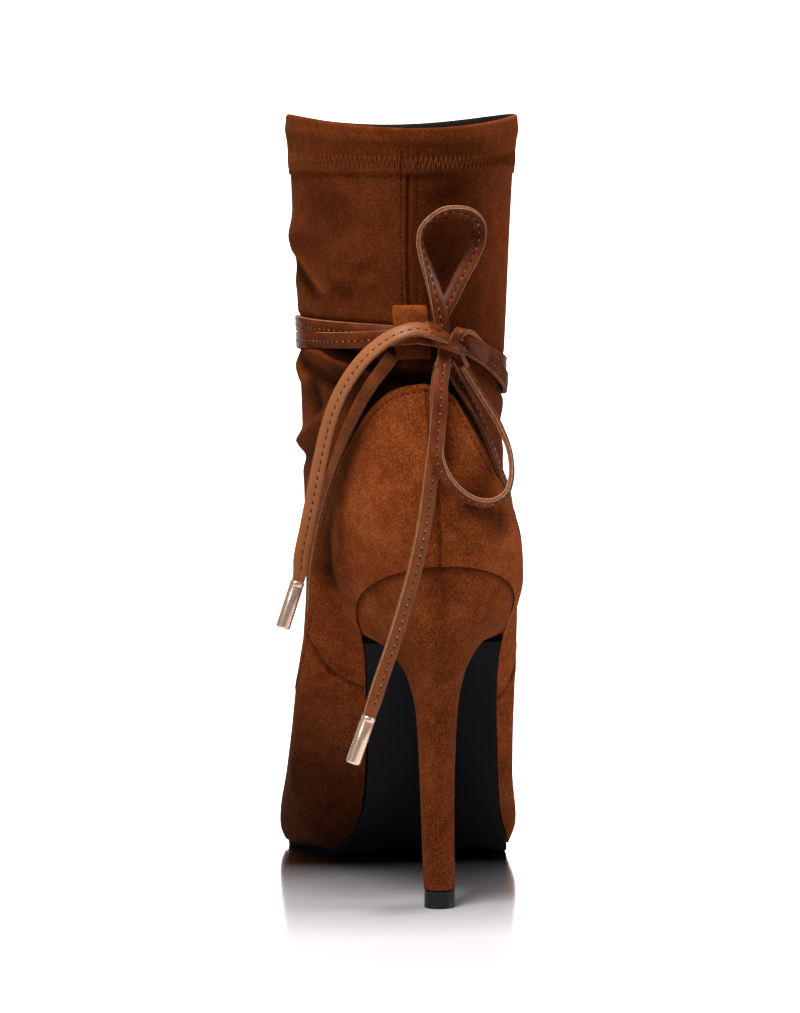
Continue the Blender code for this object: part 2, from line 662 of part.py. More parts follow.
def main():
    for thing in list(bpy.data.objects):
        bpy.data.objects.remove(thing, do_unlink=True)
    suede = material("suede_cognac", (0.22, 0.055, 0.012), 0.9)
    sock = material("suede_stretch", (0.20, 0.05, 0.011), 0.9)
    rubber = material("outsole_rubber", (0.012, 0.011, 0.013), 0.5)
    board = material("insole_board", (0.05, 0.035, 0.025), 0.7)
    plastic = material("heel_tip_plastic", (0.010, 0.010, 0.011), 0.4)
    leather = material("lace_leather", (0.20, 0.06, 0.028), 0.4)
    metal = material("aglet_rose_gold", (0.83, 0.55, 0.42), 0.15, metallic=1.0)
    make_outsole(rubber)
    make_insole(board)
    make_heel(suede)
    make_heel_tip(plastic)
    make_upper(suede)
    make_shaft(sock)
    make_keeper(sock)
    make_lace_wraps(leather)
    make_lace_strap("lace_strap_medial", 1, leather)
    make_lace_strap("lace_strap_lateral", -1, leather)
    make_knot(leather)
    make_free_lace("lace_loop_upper", LOOP_UPPER, leather)
    make_free_lace("lace_loop_lower", LOOP_LOWER, leather)
    make_free_lace("lace_end_medial", END_MEDIAL, leather)
    make_free_lace("lace_end_lateral", END_LATERAL, leather)
    make_aglet("aglet_medial", END_MEDIAL, AGLET_END_MEDIAL, metal)
    make_aglet("aglet_lateral", END_LATERAL, AGLET_END_LATERAL, metal)


main()
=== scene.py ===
"""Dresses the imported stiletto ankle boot: suede, lace, stitching, studio and camera.

The frame is the CAD's: metres, origin on the floor under the heel tip, +Y to the toe, +X to the outer
side of the right foot, +Z up. The foot form is worked out in millimetres and scaled as meshes are made.
"""

from __future__ import annotations

import json
import logging
import math
from collections.abc import Sequence
from dataclasses import dataclass, field
from enum import Enum

import bpy
import numpy as np
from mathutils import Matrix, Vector

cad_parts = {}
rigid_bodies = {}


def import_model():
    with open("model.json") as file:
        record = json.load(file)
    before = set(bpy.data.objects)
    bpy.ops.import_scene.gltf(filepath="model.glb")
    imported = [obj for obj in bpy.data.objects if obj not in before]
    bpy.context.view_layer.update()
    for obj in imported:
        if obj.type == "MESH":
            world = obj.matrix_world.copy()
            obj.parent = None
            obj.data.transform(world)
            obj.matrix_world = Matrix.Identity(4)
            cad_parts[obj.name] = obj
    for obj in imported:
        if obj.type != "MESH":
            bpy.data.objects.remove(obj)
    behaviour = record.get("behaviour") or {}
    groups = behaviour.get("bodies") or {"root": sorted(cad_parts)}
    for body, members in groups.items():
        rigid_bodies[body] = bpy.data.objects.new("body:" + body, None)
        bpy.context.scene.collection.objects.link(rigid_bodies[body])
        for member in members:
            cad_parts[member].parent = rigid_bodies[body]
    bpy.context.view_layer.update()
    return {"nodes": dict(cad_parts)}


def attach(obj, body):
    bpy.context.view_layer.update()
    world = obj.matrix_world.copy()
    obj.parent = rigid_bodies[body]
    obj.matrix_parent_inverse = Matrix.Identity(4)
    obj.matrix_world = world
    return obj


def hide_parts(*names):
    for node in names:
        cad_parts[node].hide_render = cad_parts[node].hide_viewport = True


LOG = logging.getLogger("boot")
MM = 0.001
BODY = "root"
FIT_GAP = 0.3
# Point attribute of tone, darker below zero: turned nap, painted shade and light of folds and shadows, and
# the lace's painted highlight.
NAP_AND_PAINTED_LIGHT = "nap"

Material = bpy.types.Material
Tree = bpy.types.NodeTree
Node = bpy.types.Node
Socket = bpy.types.NodeSocket
Object = bpy.types.Object
Pair = tuple[float, float]
Triple = tuple[float, float, float]
Points = np.ndarray
Rows = Sequence[Sequence[float]]
Faces = list[tuple[int, ...]]
# Points of a mesh and its faces.
Surface = tuple[Points, Faces]
# Points down the middle of a strap and the direction of its face at each.
Run = tuple[Points, Points]


class Side(Enum):
    """Side of the foot: the sign of the turn from the back."""

    MEDIAL = 1
    LATERAL = -1


def linear(code: str) -> tuple[float, float, float, float]:
    """Turns an sRGB hex value to a linear colour.

    Args:
        code: Six hex digits after a hash sign.

    Returns:
        Red, green, blue and an alpha of one.
    """
    parts = [int(code[i : i + 2], 16) / 255 for i in (1, 3, 5)]
    red, green, blue = (c / 12.92 if c <= 0.04045 else ((c + 0.055) / 1.055) ** 2.4 for c in parts)
    return (red, green, blue, 1.0)


def per_metre(size_mm: float) -> float:
    """Texture scale that gives a feature of this size."""
    return 1 / (size_mm * MM)


def add_node(
    tree: Tree,
    kind: str,
    settings: dict[str, object] | None = None,
    values: dict[str | int, object] | None = None,
    links: dict[str | int, Socket] | None = None,
) -> Node:
    """Adds a node with its settings and links.

    Args:
        tree: Node tree of a material or world.
        kind: Blender's name of the node type.
        settings: Properties of the node.
        values: Constant input values by input name or place.
        links: Sockets to link by input name or place.

    Returns:
        The new node.
    """
    node = tree.nodes.new(kind)
    for name, value in (settings or {}).items():
        setattr(node, name, value)
    for key, value in (values or {}).items():
        node.inputs[key].default_value = value
    for key, socket in (links or {}).items():
        tree.links.new(socket, node.inputs[key])
    return node


def set_stops(ramp: Node, stops: Sequence[tuple[float, str]]) -> None:
    """Gives a colour ramp its stops.

    Args:
        ramp: Colour ramp node.
        stops: Place from 0 to 1 and sRGB hex value of each stop.
    """
    elements = ramp.color_ramp.elements
    while len(elements) < len(stops):
        elements.new(0.5)
    for element, (place, code) in zip(elements, stops):
        element.position = place
        element.color = linear(code)


def new_surface(name: str) -> tuple[Material, Tree, Node]:
    """Starts a material.

    Args:
        name: Name of the material.

    Returns:
        The material, its node tree and its Principled shader.
    """
    material = bpy.data.materials.new(name)
    material.use_nodes = True
    tree = material.node_tree
    return material, tree, tree.nodes["Principled BSDF"]


def add_noise(
    tree: Tree,
    place: Socket,
    size_mm: float,
    detail: float,
    roughness: float,
    distortion: float = 0.0,
) -> Socket:
    """Adds a noise whose features have a real size.

    Args:
        tree: Node tree of a material.
        place: Coordinates to read it at.
        size_mm: Size of its features in millimetres.
        detail: Number of finer layers.
        roughness: Strength of the finer layers.
        distortion: How far the pattern is warped.

    Returns:
        The noise's value.
    """
    values = {"Scale": per_metre(size_mm), "Detail": detail, "Roughness": roughness, "Distortion": distortion}
    return add_node(tree, "ShaderNodeTexNoise", values=values, links={"Vector": place}).outputs[0]


def add_range(tree: Tree, value: Socket, old: Pair, new: Pair) -> Socket:
    """Adds a change of range.

    Args:
        tree: Node tree of a material.
        value: Value to change.
        old: Range that it comes from.
        new: Range that it goes to.

    Returns:
        The changed value, held inside the new range.
    """
    limits = {"From Min": old[0], "From Max": old[1], "To Min": new[0], "To Max": new[1]}
    return add_node(tree, "ShaderNodeMapRange", values=limits, links={"Value": value}).outputs["Result"]


def add_bump(tree: Tree, shader: Node, height: Socket, strength: float, depth_mm: float) -> None:
    """Gives a shader a bump of a real depth.

    Args:
        tree: Node tree of a material.
        shader: Principled shader.
        height: Pattern of the bump.
        strength: Share of the bump that shows.
        depth_mm: Depth of the pattern in millimetres.
    """
    values = {"Strength": strength, "Distance": depth_mm * MM}
    bump = add_node(tree, "ShaderNodeBump", values=values, links={"Height": height})
    tree.links.new(bump.outputs["Normal"], shader.inputs["Normal"])


@dataclass(frozen=True)
class Suede:
    """Goat suede, split and brushed: dull, with a short nap whose lay turns the tone in soft patches."""

    name: str
    dark: str = "#3d1808"
    mid: str = "#833d18"
    light: str = "#b06335"
    patch_mm: float = 22.0
    streak_mm: float = 3.4
    # Real fibres of about 0.1 mm are drawn as clumps of 0.45 mm, which the render can show.
    nap_mm: float = 0.45
    nap_depth_mm: float = 0.26
    # How far from the middle of the tones the dark and the light stop lie: less is a harder grain.
    spread: float = 0.16
    # Shares of the finer patterns in the tone, and the scale up the boot, along which the fibres lie.
    streak_share: float = 0.42
    nap_share: float = 0.58
    up_scale: float = 0.7

    # Dull face with a faint fuzz against the light.
    GLOSS = {"Roughness": 0.95, "Specular IOR Level": 0.04, "Sheen Weight": 0.06, "Sheen Roughness": 0.42}
    FUZZ = "#d98a50"

    def make(self) -> Material:
        """Builds the material.

        Returns:
            A dull material with brushed patches, streaks and a fine nap.
        """
        material, tree, shader = new_surface(self.name)
        place = add_node(tree, "ShaderNodeTexCoord").outputs["Object"]
        scale = {"Scale": (1.0, 1.0, self.up_scale)}
        brushed = add_node(tree, "ShaderNodeMapping", values=scale, links={"Vector": place}).outputs["Vector"]
        tone = add_noise(tree, place, self.patch_mm, detail=3.0, roughness=0.55, distortion=0.6)
        streaks = add_noise(tree, brushed, self.streak_mm, detail=4.0, roughness=0.6, distortion=0.4)
        nap = add_noise(tree, brushed, self.nap_mm, detail=2.0, roughness=0.65)
        for share, finer in ((self.streak_share, streaks), (self.nap_share, nap)):
            pair = {"A": tone, "B": finer}
            tone = add_node(tree, "ShaderNodeMix", {"data_type": "FLOAT"}, {"Factor": share}, pair).outputs[0]
        ramp = add_node(tree, "ShaderNodeValToRGB", links={"Fac": tone})
        set_stops(ramp, ((0.5 - self.spread, self.dark), (0.5, self.mid), (0.5 + self.spread, self.light)))
        # Tone attribute: turned nap, with painted shade in folds, recesses and shadows and painted light on
        # crests and edges.
        lay = add_node(tree, "ShaderNodeAttribute", {"attribute_name": NAP_AND_PAINTED_LIGHT}).outputs["Fac"]
        depth = add_range(tree, lay, (-1.0, 1.0), (0.0, 2.0))
        tones = {"Value": depth, "Color": ramp.outputs["Color"]}
        laid = add_node(tree, "ShaderNodeHueSaturation", links=tones)
        tree.links.new(laid.outputs["Color"], shader.inputs["Base Color"])
        add_bump(tree, shader, nap, 0.8, self.nap_depth_mm)
        for name, value in self.GLOSS.items():
            shader.inputs[name].default_value = value
        shader.inputs["Sheen Tint"].default_value = linear(self.FUZZ)
        return material


@dataclass(frozen=True)
class Leather:
    """Drum-dyed calf leather: a satin face with a fine grain."""

    name: str
    dark: str
    light: str
    roughness: float = 0.37
    specular: float = 0.15
    grain_mm: float = 0.55
    grain_depth_mm: float = 0.05
    cloud_mm: float = 9.0
    # Painted highlight: a paler tone, by the share that the piece carries in its tone attribute.
    highlight_colour: str = "#c67f50"
    # How much glossier and duller the face gets with its clouds.
    gloss_range: Pair = (-0.06, 0.08)

    def make(self) -> Material:
        """Builds the material.

        Returns:
            A satin material with a fine grain.
        """
        material, tree, shader = new_surface(self.name)
        place = add_node(tree, "ShaderNodeTexCoord").outputs["Object"]
        cloud = add_noise(tree, place, self.cloud_mm, detail=4.0, roughness=0.6)
        cells = {"Scale": per_metre(self.grain_mm), "Randomness": 1.0}
        grain = add_node(tree, "ShaderNodeTexVoronoi", values=cells, links={"Vector": place})
        ramp = add_node(tree, "ShaderNodeValToRGB", links={"Fac": cloud})
        set_stops(ramp, ((0.35, self.dark), (0.66, self.light)))
        # Painted highlight: the tone attribute mixes in the paler colour.
        highlight_share = add_node(tree, "ShaderNodeAttribute", {"attribute_name": NAP_AND_PAINTED_LIGHT}).outputs["Fac"]
        tones = {"Fac": highlight_share, "Color1": ramp.outputs["Color"]}
        colour = add_node(tree, "ShaderNodeMixRGB", values={"Color2": linear(self.highlight_colour)}, links=tones)
        low, high = (self.roughness + change for change in self.gloss_range)
        tree.links.new(colour.outputs["Color"], shader.inputs["Base Color"])
        tree.links.new(add_range(tree, cloud, (0.3, 0.7), (low, high)), shader.inputs["Roughness"])
        add_bump(tree, shader, grain.outputs["Distance"], 0.5, self.grain_depth_mm)
        shader.inputs["IOR"].default_value = 1.5
        shader.inputs["Specular IOR Level"].default_value = self.specular
        return material


@dataclass(frozen=True)
class Plain:
    """A moulded, spun or polished surface with a fine speckle: rubber, plastic, thread, cloth or metal."""

    name: str
    dark: str
    light: str
    roughness: float
    metallic: float = 0.0
    speckle_mm: float = 0.5
    speckle_depth_mm: float = 0.03
    specular: float = 0.5
    # Shares of the roughness where the speckle is glossiest and dullest.
    gloss_range: Pair = (0.9, 1.12)

    def make(self) -> Material:
        """Builds the material.

        Returns:
            A material with a speckled tone, gloss and bump.
        """
        material, tree, shader = new_surface(self.name)
        place = add_node(tree, "ShaderNodeTexCoord").outputs["Object"]
        speckle = add_noise(tree, place, self.speckle_mm, detail=3.0, roughness=0.6)
        ramp = add_node(tree, "ShaderNodeValToRGB", links={"Fac": speckle})
        set_stops(ramp, ((0.35, self.dark), (0.65, self.light)))
        low, high = (self.roughness * share for share in self.gloss_range)
        tree.links.new(ramp.outputs["Color"], shader.inputs["Base Color"])
        tree.links.new(add_range(tree, speckle, (0.3, 0.7), (low, high)), shader.inputs["Roughness"])
        add_bump(tree, shader, speckle, 0.4, self.speckle_depth_mm)
        shader.inputs["Metallic"].default_value = self.metallic
        shader.inputs["Specular IOR Level"].default_value = self.specular
        return material


def made(look: Suede | Leather | Plain) -> Material:
    """Field that holds a finish's material, made together with the others."""
    return field(default_factory=look.make)


@dataclass
class Finishes:
    """Every material of the boot, made once."""

    # Brushed goat suede of the shell and heel cover: cognac, patchy where the nap turns.
    shell: Material = made(Suede("suede_brushed_cognac"))
    # Stretch suede of the sock: the same dye, longer patches, a little darker.
    sock: Material = made(
        Suede("suede_stretch_cognac", "#2f1205", "#612b0f", "#864722", 30.0, 4.0, spread=0.21)
    )
    # Suede offcut of the keeper, nap the other way: redder and lighter.
    keeper: Material = made(Suede("suede_keeper_reversed", "#4d200b", "#8a4119", "#ad5f2e", 14.0, 3.0))
    # Calf leather of the lace: red-brown with a satin shine.
    lace: Material = made(Leather("calf_leather_lace", "#57240d", "#7c3b17"))
    # Flesh side of the lace: the same dye, dull and fibrous.
    lace_back: Material = made(Leather("calf_leather_flesh_side", "#6b3418", "#884b26", 0.78, 0.05))
    # Cut edge of the lace's two plies: dyed through, dry and fibrous.
    cut_edge: Material = made(
        Plain("leather_cut_edge", "#70402a", "#9d6644", 0.75, speckle_mm=0.7, specular=0.2)
    )
    # Rims of the cut edges: rubbed pale, and a painted highlight along the bevel.
    rim_wear_and_highlight: Material = made(
        Plain("leather_rubbed_rim", "#a06c4a", "#d0a07a", 0.7, speckle_mm=1.4, specular=0.2)
    )
    # Waxed polyester thread of the lace: pale tan and faintly shiny, its short stitches partly a painted
    # highlight on the wax.
    lace_thread_and_highlight: Material = made(Plain("thread_waxed_tan_and_highlight", "#6b3d26", "#c79b78", 0.5, speckle_mm=7.0))
    # Thread of the suede, dyed to match and sunk in the nap: dark brown.
    suede_thread: Material = made(
        Plain("thread_dyed_brown", "#2a1107", "#4d220e", 0.9, speckle_mm=0.4, specular=0.05)
    )
    # Overlock thread of the hem: a shade lighter than the suede.
    hem_thread: Material = made(
        Plain("thread_hem_rust", "#5e2a10", "#935026", 0.9, speckle_mm=0.6, specular=0.05)
    )
    # Moulded sole rubber: near black with a satin sheen.
    sole: Material = made(
        Plain("rubber_moulded_black", "#0a090d", "#100f14", 0.58, speckle_mm=0.8, specular=0.06)
    )
    # Polyurethane top piece of the heel: black, a little shinier than the sole.
    tip: Material = made(
        Plain("polyurethane_moulded_black", "#0d0d0f", "#161619", 0.34, speckle_mm=0.6, specular=0.3)
    )
    # Knitted lining and sock of the insole: dull black.
    lining: Material = made(
        Plain("polyester_knit_lining", "#151110", "#2a2220", 0.9, speckle_mm=0.9, specular=0.2)
    )
    # Zinc tips plated in rose gold and lacquered: bright and creamy, with hair-fine rub marks.
    gold: Material = made(
        Plain("zinc_plated_rose_gold", "#eec3a6", "#f8dac2", 0.24, 0.7, speckle_mm=1.2, speckle_depth_mm=0.01)
    )


def unit(vectors: Points) -> Points:
    """Vectors scaled to length one."""
    return vectors / np.linalg.norm(vectors, axis=-1, keepdims=True)


def full_turn(count: int) -> Points:
    """Even steps of one turn, in radians."""
    return np.arange(count) * 2 * math.pi / count


def ease(share: Points) -> Points:
    """Smooth step of a share, held at 0 and 1 outside it."""
    share = np.clip(share, 0.0, 1.0)
    return share * share * (3 - 2 * share)


def bell(at: Points, middle: float, half: float) -> Points:
    """Soft hump of height one round a middle."""
    return np.exp(-(((at - middle) / half) ** 2))


def reach(path: Points) -> Points:
    """Distance along a path at each of its points."""
    return np.concatenate([[0.0], np.cumsum(np.linalg.norm(np.diff(path, axis=0), axis=1))])


def smooth(knots: Sequence[float], values: Sequence[object], at: Points) -> Points:
    """Cubic curve through the values that adds no humps between them and runs straight past both ends.

    Args:
        knots: Rising places of the values.
        values: One number for each knot, or one row with a number for each place in at.
        at: Places to read.

    Returns:
        The curve's value at each place.
    """
    knots = np.asarray(knots, float)
    at = np.atleast_1d(np.asarray(at, float))
    values = np.asarray(values, float).reshape(len(knots), -1)
    values = np.broadcast_to(values, (len(knots), len(at)))
    spans = np.diff(knots)[:, None]
    slopes = np.diff(values, axis=0) / spans
    before, after = slopes[:-1], slopes[1:]
    near, far = 2 * spans[1:] + spans[:-1], spans[1:] + 2 * spans[:-1]
    same_way = before * after > 0
    safe_before = np.where(same_way, before, 1.0)
    safe_after = np.where(same_way, after, 1.0)
    inner = np.where(same_way, (near + far) / (near / safe_before + far / safe_after), 0.0)
    tangents = np.vstack([slopes[:1], inner, slopes[-1:]])
    piece = np.clip(np.searchsorted(knots, at, side="right") - 1, 0, len(knots) - 2)
    column = np.arange(len(at))
    span = spans[piece, 0]
    place = (at - knots[piece]) / span
    t = np.clip(place, 0.0, 1.0)
    start, end = values[piece, column], values[piece + 1, column]
    start_tangent, end_tangent = tangents[piece, column], tangents[piece + 1, column]
    curve = start + (end - start) * t * t * (3 - 2 * t)
    curve += span * t * (1 - t) * ((1 - t) * start_tangent - t * end_tangent)
    return curve + (place - t) * span * np.where(place < 0, start_tangent, end_tangent)


def through(rows: Rows, step: float) -> Points:
    """Smooth curve through rows of numbers whose first three are a place.

    Args:
        rows: Places chosen along the curve, with any further numbers that run along it.
        step: Spacing along the curve, in the places' own unit.

    Returns:
        Rows at an even step.
    """
    rows = np.asarray(rows, float)
    knots = reach(rows[:, :3])
    tangents = np.gradient(rows, knots, axis=0)
    places = np.linspace(0, knots[-1], max(2, round(knots[-1] / step)) + 1)
    piece = np.clip(np.searchsorted(knots, places, side="right") - 1, 0, len(knots) - 2)
    span = (knots[piece + 1] - knots[piece])[:, None]
    t = (places - knots[piece])[:, None] / span
    start, end = rows[piece], rows[piece + 1]
    curve = start + (end - start) * t * t * (3 - 2 * t)
    return curve + span * t * (1 - t) * ((1 - t) * tangents[piece] - t * tangents[piece + 1])


def nearest_on_path(points: Points, path: Points) -> tuple[Points, Points]:
    """Distance of points from a path.

    Args:
        points: Points in millimetres, one a row.
        path: Points along the path, one a row.

    Returns:
        The distance of each point, and how far along the path its nearest place is, from 0 to 1.
    """
    best = np.full(len(points), np.inf)
    along = np.zeros(len(points))
    lengths = np.linalg.norm(np.diff(path, axis=0), axis=1)
    reached = reach(path)
    for i, length in enumerate(lengths):
        way = path[i + 1] - path[i]
        t = np.clip((points - path[i]) @ way / length**2, 0.0, 1.0)
        gap = np.linalg.norm(points - path[i] - t[:, None] * way, axis=1)
        closer = gap < best
        best = np.where(closer, gap, best)
        along = np.where(closer, (reached[i] + t * length) / reached[-1], along)
    return best, along


def grid_faces(rows: int, columns: int, wrap_rows: bool = False, wrap_columns: bool = True) -> Faces:
    """Quads between neighbours of a grid of points.

    Args:
        rows: Number of rows.
        columns: Number of points in a row.
        wrap_rows: Whether the last row joins the first.
        wrap_columns: Whether each row is a closed loop.

    Returns:
        Point numbers of each quad.
    """
    r = np.arange(rows if wrap_rows else rows - 1)
    c = np.arange(columns if wrap_columns else columns - 1)
    row, column = (grid.ravel() for grid in np.meshgrid(r, c, indexing="ij"))
    next_row, next_column = (row + 1) % rows, (column + 1) % columns
    corners = ((row, column), (row, next_column), (next_row, next_column), (next_row, column))
    quads = np.stack([down * columns + along for down, along in corners], axis=1)
    return list(map(tuple, quads.tolist()))


def make_piece(
    name: str,
    points: Points,
    faces: Sequence[Sequence[int]],
    finishes: Sequence[Material],
    face_slots: Sequence[int] | None = None,
    sharp_deg: float = 50.0,
    nap: Points | None = None,
) -> Object:
    """Makes a smooth-shaded mesh object that rides on the boot.

    Args:
        name: Name of the piece.
        points: Points in millimetres, one a row.
        faces: Point numbers of each face.
        finishes: Materials of the piece.
        face_slots: Place of each face's material among them, or None for the first.
        sharp_deg: Edges that turn further than this stay sharp.
        nap: Tone at each point, with turned nap and painted shade and light, or None.

    Returns:
        The new object.
    """
    mesh = bpy.data.meshes.new(name)
    mesh.from_pydata((np.asarray(points, float).reshape(-1, 3) * MM).tolist(), [], faces)
    for finish in finishes:
        mesh.materials.append(finish)
    if face_slots is not None:
        mesh.polygons.foreach_set("material_index", np.asarray(face_slots, np.int32))
    if nap is not None:
        tones = mesh.attributes.new(NAP_AND_PAINTED_LIGHT, "FLOAT", "POINT").data
        tones.foreach_set("value", np.asarray(nap, np.float32).ravel())
    mesh.shade_smooth()
    mesh.set_sharp_from_angle(angle=math.radians(sharp_deg))
    mesh.validate()
    piece = bpy.data.objects.new(name, mesh)
    bpy.context.scene.collection.objects.link(piece)
    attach(piece, BODY)
    LOG.info("%s: %d points, %d faces", name, len(mesh.vertices), len(mesh.polygons))
    return piece


def merge(parts: Sequence[Surface]) -> Surface:
    """Joins several sets of points and faces into one."""
    points: list[Points] = []
    faces: Faces = []
    start = 0
    for own_points, own_faces in parts:
        faces += [tuple(start + i for i in face) for face in own_faces]
        points.append(own_points)
        start += len(own_points)
    return np.vstack(points), faces


def join_grids(grids: Sequence[Points], closed: bool = False) -> Surface:
    """Joins several grids, whose rows are closed loops, into one set of points and faces.

    Args:
        grids: Grids of points, each rows by columns by 3.
        closed: Whether the last row of each joins its first. Other grids get end caps.

    Returns:
        The points and the faces.
    """
    parts: list[Surface] = []
    for grid in grids:
        rows, columns = grid.shape[:2]
        faces = grid_faces(rows, columns, closed)
        if not closed:
            faces.append(tuple(reversed(range(columns))))
            faces.append(tuple((rows - 1) * columns + i for i in range(columns)))
        parts.append((grid.reshape(-1, 3), faces))
    return merge(parts)


class Last:
    """The foot form that every sewn piece follows: rings from the feather line to the collar, in mm."""

    SEAT_BACK_Y = -19.0
    TOE_TIP_Y = 204.0
    RIM_WAVE = 2.2
    # Steps for normals and for directions up the surface, and halvings of a search for a level.
    STEP = 1e-3
    UP_STEP = 0.02
    HALVINGS = 40
    # Underside in side view: y and z, from the seat to the toe.
    BOTTOM = (
        (-19.0, 117.5), (0.0, 108.7), (20.0, 100.0), (40.0, 89.0), (55.0, 73.5), (75.0, 47.0),
        (92.0, 25.0), (106.0, 10.5), (120.0, 2.8), (158.0, 2.8), (182.0, 4.8), (204.0, 9.0),
    )  # fmt: skip
    # Each ring: back y, back z, front y, front z, share of the underside's dip, lean of its middle.
    RINGS = (
        (-19.0, 117.5, 204.0, 9.0, 1.00, -0.5),
        (-22.5, 126.0, 199.5, 17.5, 0.95, -1.0),
        (-24.5, 139.0, 173.0, 34.0, 0.80, -2.0),
        (-24.0, 153.0, 143.0, 60.0, 0.55, -3.5),
        (-20.5, 170.0, 115.0, 93.0, 0.30, -6.0),
        (-16.5, 187.0, 93.0, 135.0, 0.12, -8.7),
        (-14.5, 206.0, 77.0, 182.0, 0.03, -10.0),
        (-16.0, 234.0, 69.0, 226.0, 0.00, -10.3),
        (-18.5, 264.0, 65.0, 264.0, 0.00, -10.2),
    )
    STATIONS = (0.0, 0.12, 0.34, 0.50, 0.62, 0.74, 0.88, 1.0)
    # Half width of each ring's oval at the stations: back, heel, waist, arch, tread, ball, toe, tip.
    MEDIAL = (
        (50.0, 37.0, 18.6, 14.5, 23.2, 40.5, 33.0, 15.0),
        (53.0, 42.0, 26.0, 26.5, 34.5, 43.0, 32.0, 20.0),
        (53.0, 43.5, 34.0, 36.5, 39.0, 40.5, 32.0, 27.0),
        (47.0, 40.0, 35.5, 36.0, 36.5, 36.0, 33.0, 29.0),
        (39.0, 35.0, 33.3, 33.3, 33.8, 33.8, 32.5, 30.0),
        (33.5, 32.7, 32.7, 32.7, 33.2, 33.2, 32.5, 31.0),
        (33.0, 33.5, 34.0, 34.0, 34.0, 34.0, 33.5, 33.0),
        (35.5, 36.0, 36.2, 36.2, 36.2, 36.2, 36.0, 35.5),
        (38.0, 38.2, 38.3, 38.3, 38.3, 38.3, 38.2, 38.0),
    )
    LATERAL = (
        (50.0, 38.6, 27.9, 31.5, 39.0, 40.5, 31.0, 15.0),
        (53.0, 42.5, 33.0, 36.0, 41.5, 43.3, 30.0, 20.0),
        (53.0, 41.5, 34.2, 35.0, 36.8, 38.5, 31.0, 27.0),
        (47.0, 36.0, 33.0, 35.0, 36.0, 36.0, 32.5, 29.0),
        (39.0, 33.5, 33.0, 33.8, 34.5, 34.5, 32.5, 30.0),
        (33.5, 33.2, 33.7, 34.2, 34.2, 33.7, 32.5, 31.0),
        (33.0, 34.3, 35.6, 35.8, 35.8, 35.4, 34.2, 33.0),
        (35.5, 36.3, 37.0, 37.0, 37.0, 36.8, 36.0, 35.5),
        (38.0, 38.2, 38.3, 38.3, 38.3, 38.3, 38.2, 38.0),
    )
    # Level of the shell's topline: degrees from the back, medial level, lateral level.
    TOPLINE = (
        (0.0, 4.42, 4.42), (12.0, 4.40, 4.27), (18.0, 4.36, 3.74), (26.0, 4.23, 2.92), (36.0, 4.00, 2.60),
        (60.0, 3.25, 2.62), (85.0, 2.80, 2.74), (110.0, 2.95, 2.95), (150.0, 3.70, 3.70), (180.0, 3.95, 3.95),
    )  # fmt: skip
    TOP_LEVEL = float(len(RINGS) - 1)

    def bottom(self, y: Points) -> Points:
        """Height of the foot's underside."""
        return smooth([row[0] for row in self.BOTTOM], [row[1] for row in self.BOTTOM], y)

    def by_level(self, table: Rows, level: Points) -> list[Points]:
        """Each column of a table of rings at a level between them."""
        return [smooth(range(len(table)), column, level) for column in zip(*table)]

    def point(self, turn: Points, level: Points) -> Points:
        """Points of the form's surface.

        Args:
            turn: Radians from the back, by way of the medial side.
            level: Level from the feather line, 0, to the collar, 8.

        Returns:
            One point a row.
        """
        turn, level = np.broadcast_arrays(np.asarray(turn, float), np.asarray(level, float))
        back_y, back_z, front_y, front_z, sag, lean = self.by_level(self.RINGS, level)
        along = (1 - np.cos(turn)) / 2
        medial = smooth(self.STATIONS, self.by_level(self.MEDIAL, level), along)
        lateral = smooth(self.STATIONS, self.by_level(self.LATERAL, level), along)
        side = np.sin(turn)
        x = lean - side * np.where(side > 0, medial, lateral)
        y = back_y + along * (front_y - back_y)
        foot_y = self.SEAT_BACK_Y + along * (self.TOE_TIP_Y - self.SEAT_BACK_Y)
        (_, seat_z), (_, toe_z) = self.BOTTOM[0], self.BOTTOM[-1]
        dip = self.bottom(foot_y) - (seat_z + along * (toe_z - seat_z))
        z = back_z + along * (front_z - back_z) + sag * dip
        rim_share = np.clip(level - (self.TOP_LEVEL - 1), 0, 1) ** 2
        z = z - rim_share * self.RIM_WAVE * np.cos(2 * turn)
        return np.stack([x, y, z], axis=-1)

    def normal(self, turn: Points, level: Points) -> Points:
        """Outward normals of the form's surface."""
        up = self.point(turn, level + self.STEP) - self.point(turn, level - self.STEP)
        round_ = self.point(turn + self.STEP, level) - self.point(turn - self.STEP, level)
        return unit(np.cross(up, round_))

    def outside(self, turn: Points, level: Points, offset: Points | float) -> Points:
        """Points at a distance outside the form's surface."""
        turn = np.asarray(turn, float)
        level = np.broadcast_to(np.asarray(level, float), turn.shape)
        offset = np.broadcast_to(np.asarray(offset, float), turn.shape)
        return self.point(turn, level) + self.normal(turn, level) * offset[..., None]

    def feather(self, turn: Points, offset: float) -> Points:
        """Points of the feather line, moved out sideways and kept on the underside."""
        point = self.point(turn, np.zeros_like(turn))
        flat = self.normal(turn, np.full_like(turn, 10 * self.STEP))[:, :2]
        point[:, :2] += unit(flat) * offset
        point[:, 2] = self.bottom(point[:, 1])
        return point

    def level_at_height(self, turn: Points, height: Points) -> Points:
        """Level of the surface at a height above the ankle.

        Args:
            turn: Radians from the back.
            height: Heights in millimetres.

        Returns:
            One level for each turn.
        """
        low, high = np.full_like(turn, 2.0), np.full_like(turn, self.TOP_LEVEL)
        for _ in range(self.HALVINGS):
            middle = (low + high) / 2
            below = self.point(turn, middle)[:, 2] < height
            low, high = np.where(below, middle, low), np.where(below, high, middle)
        return (low + high) / 2

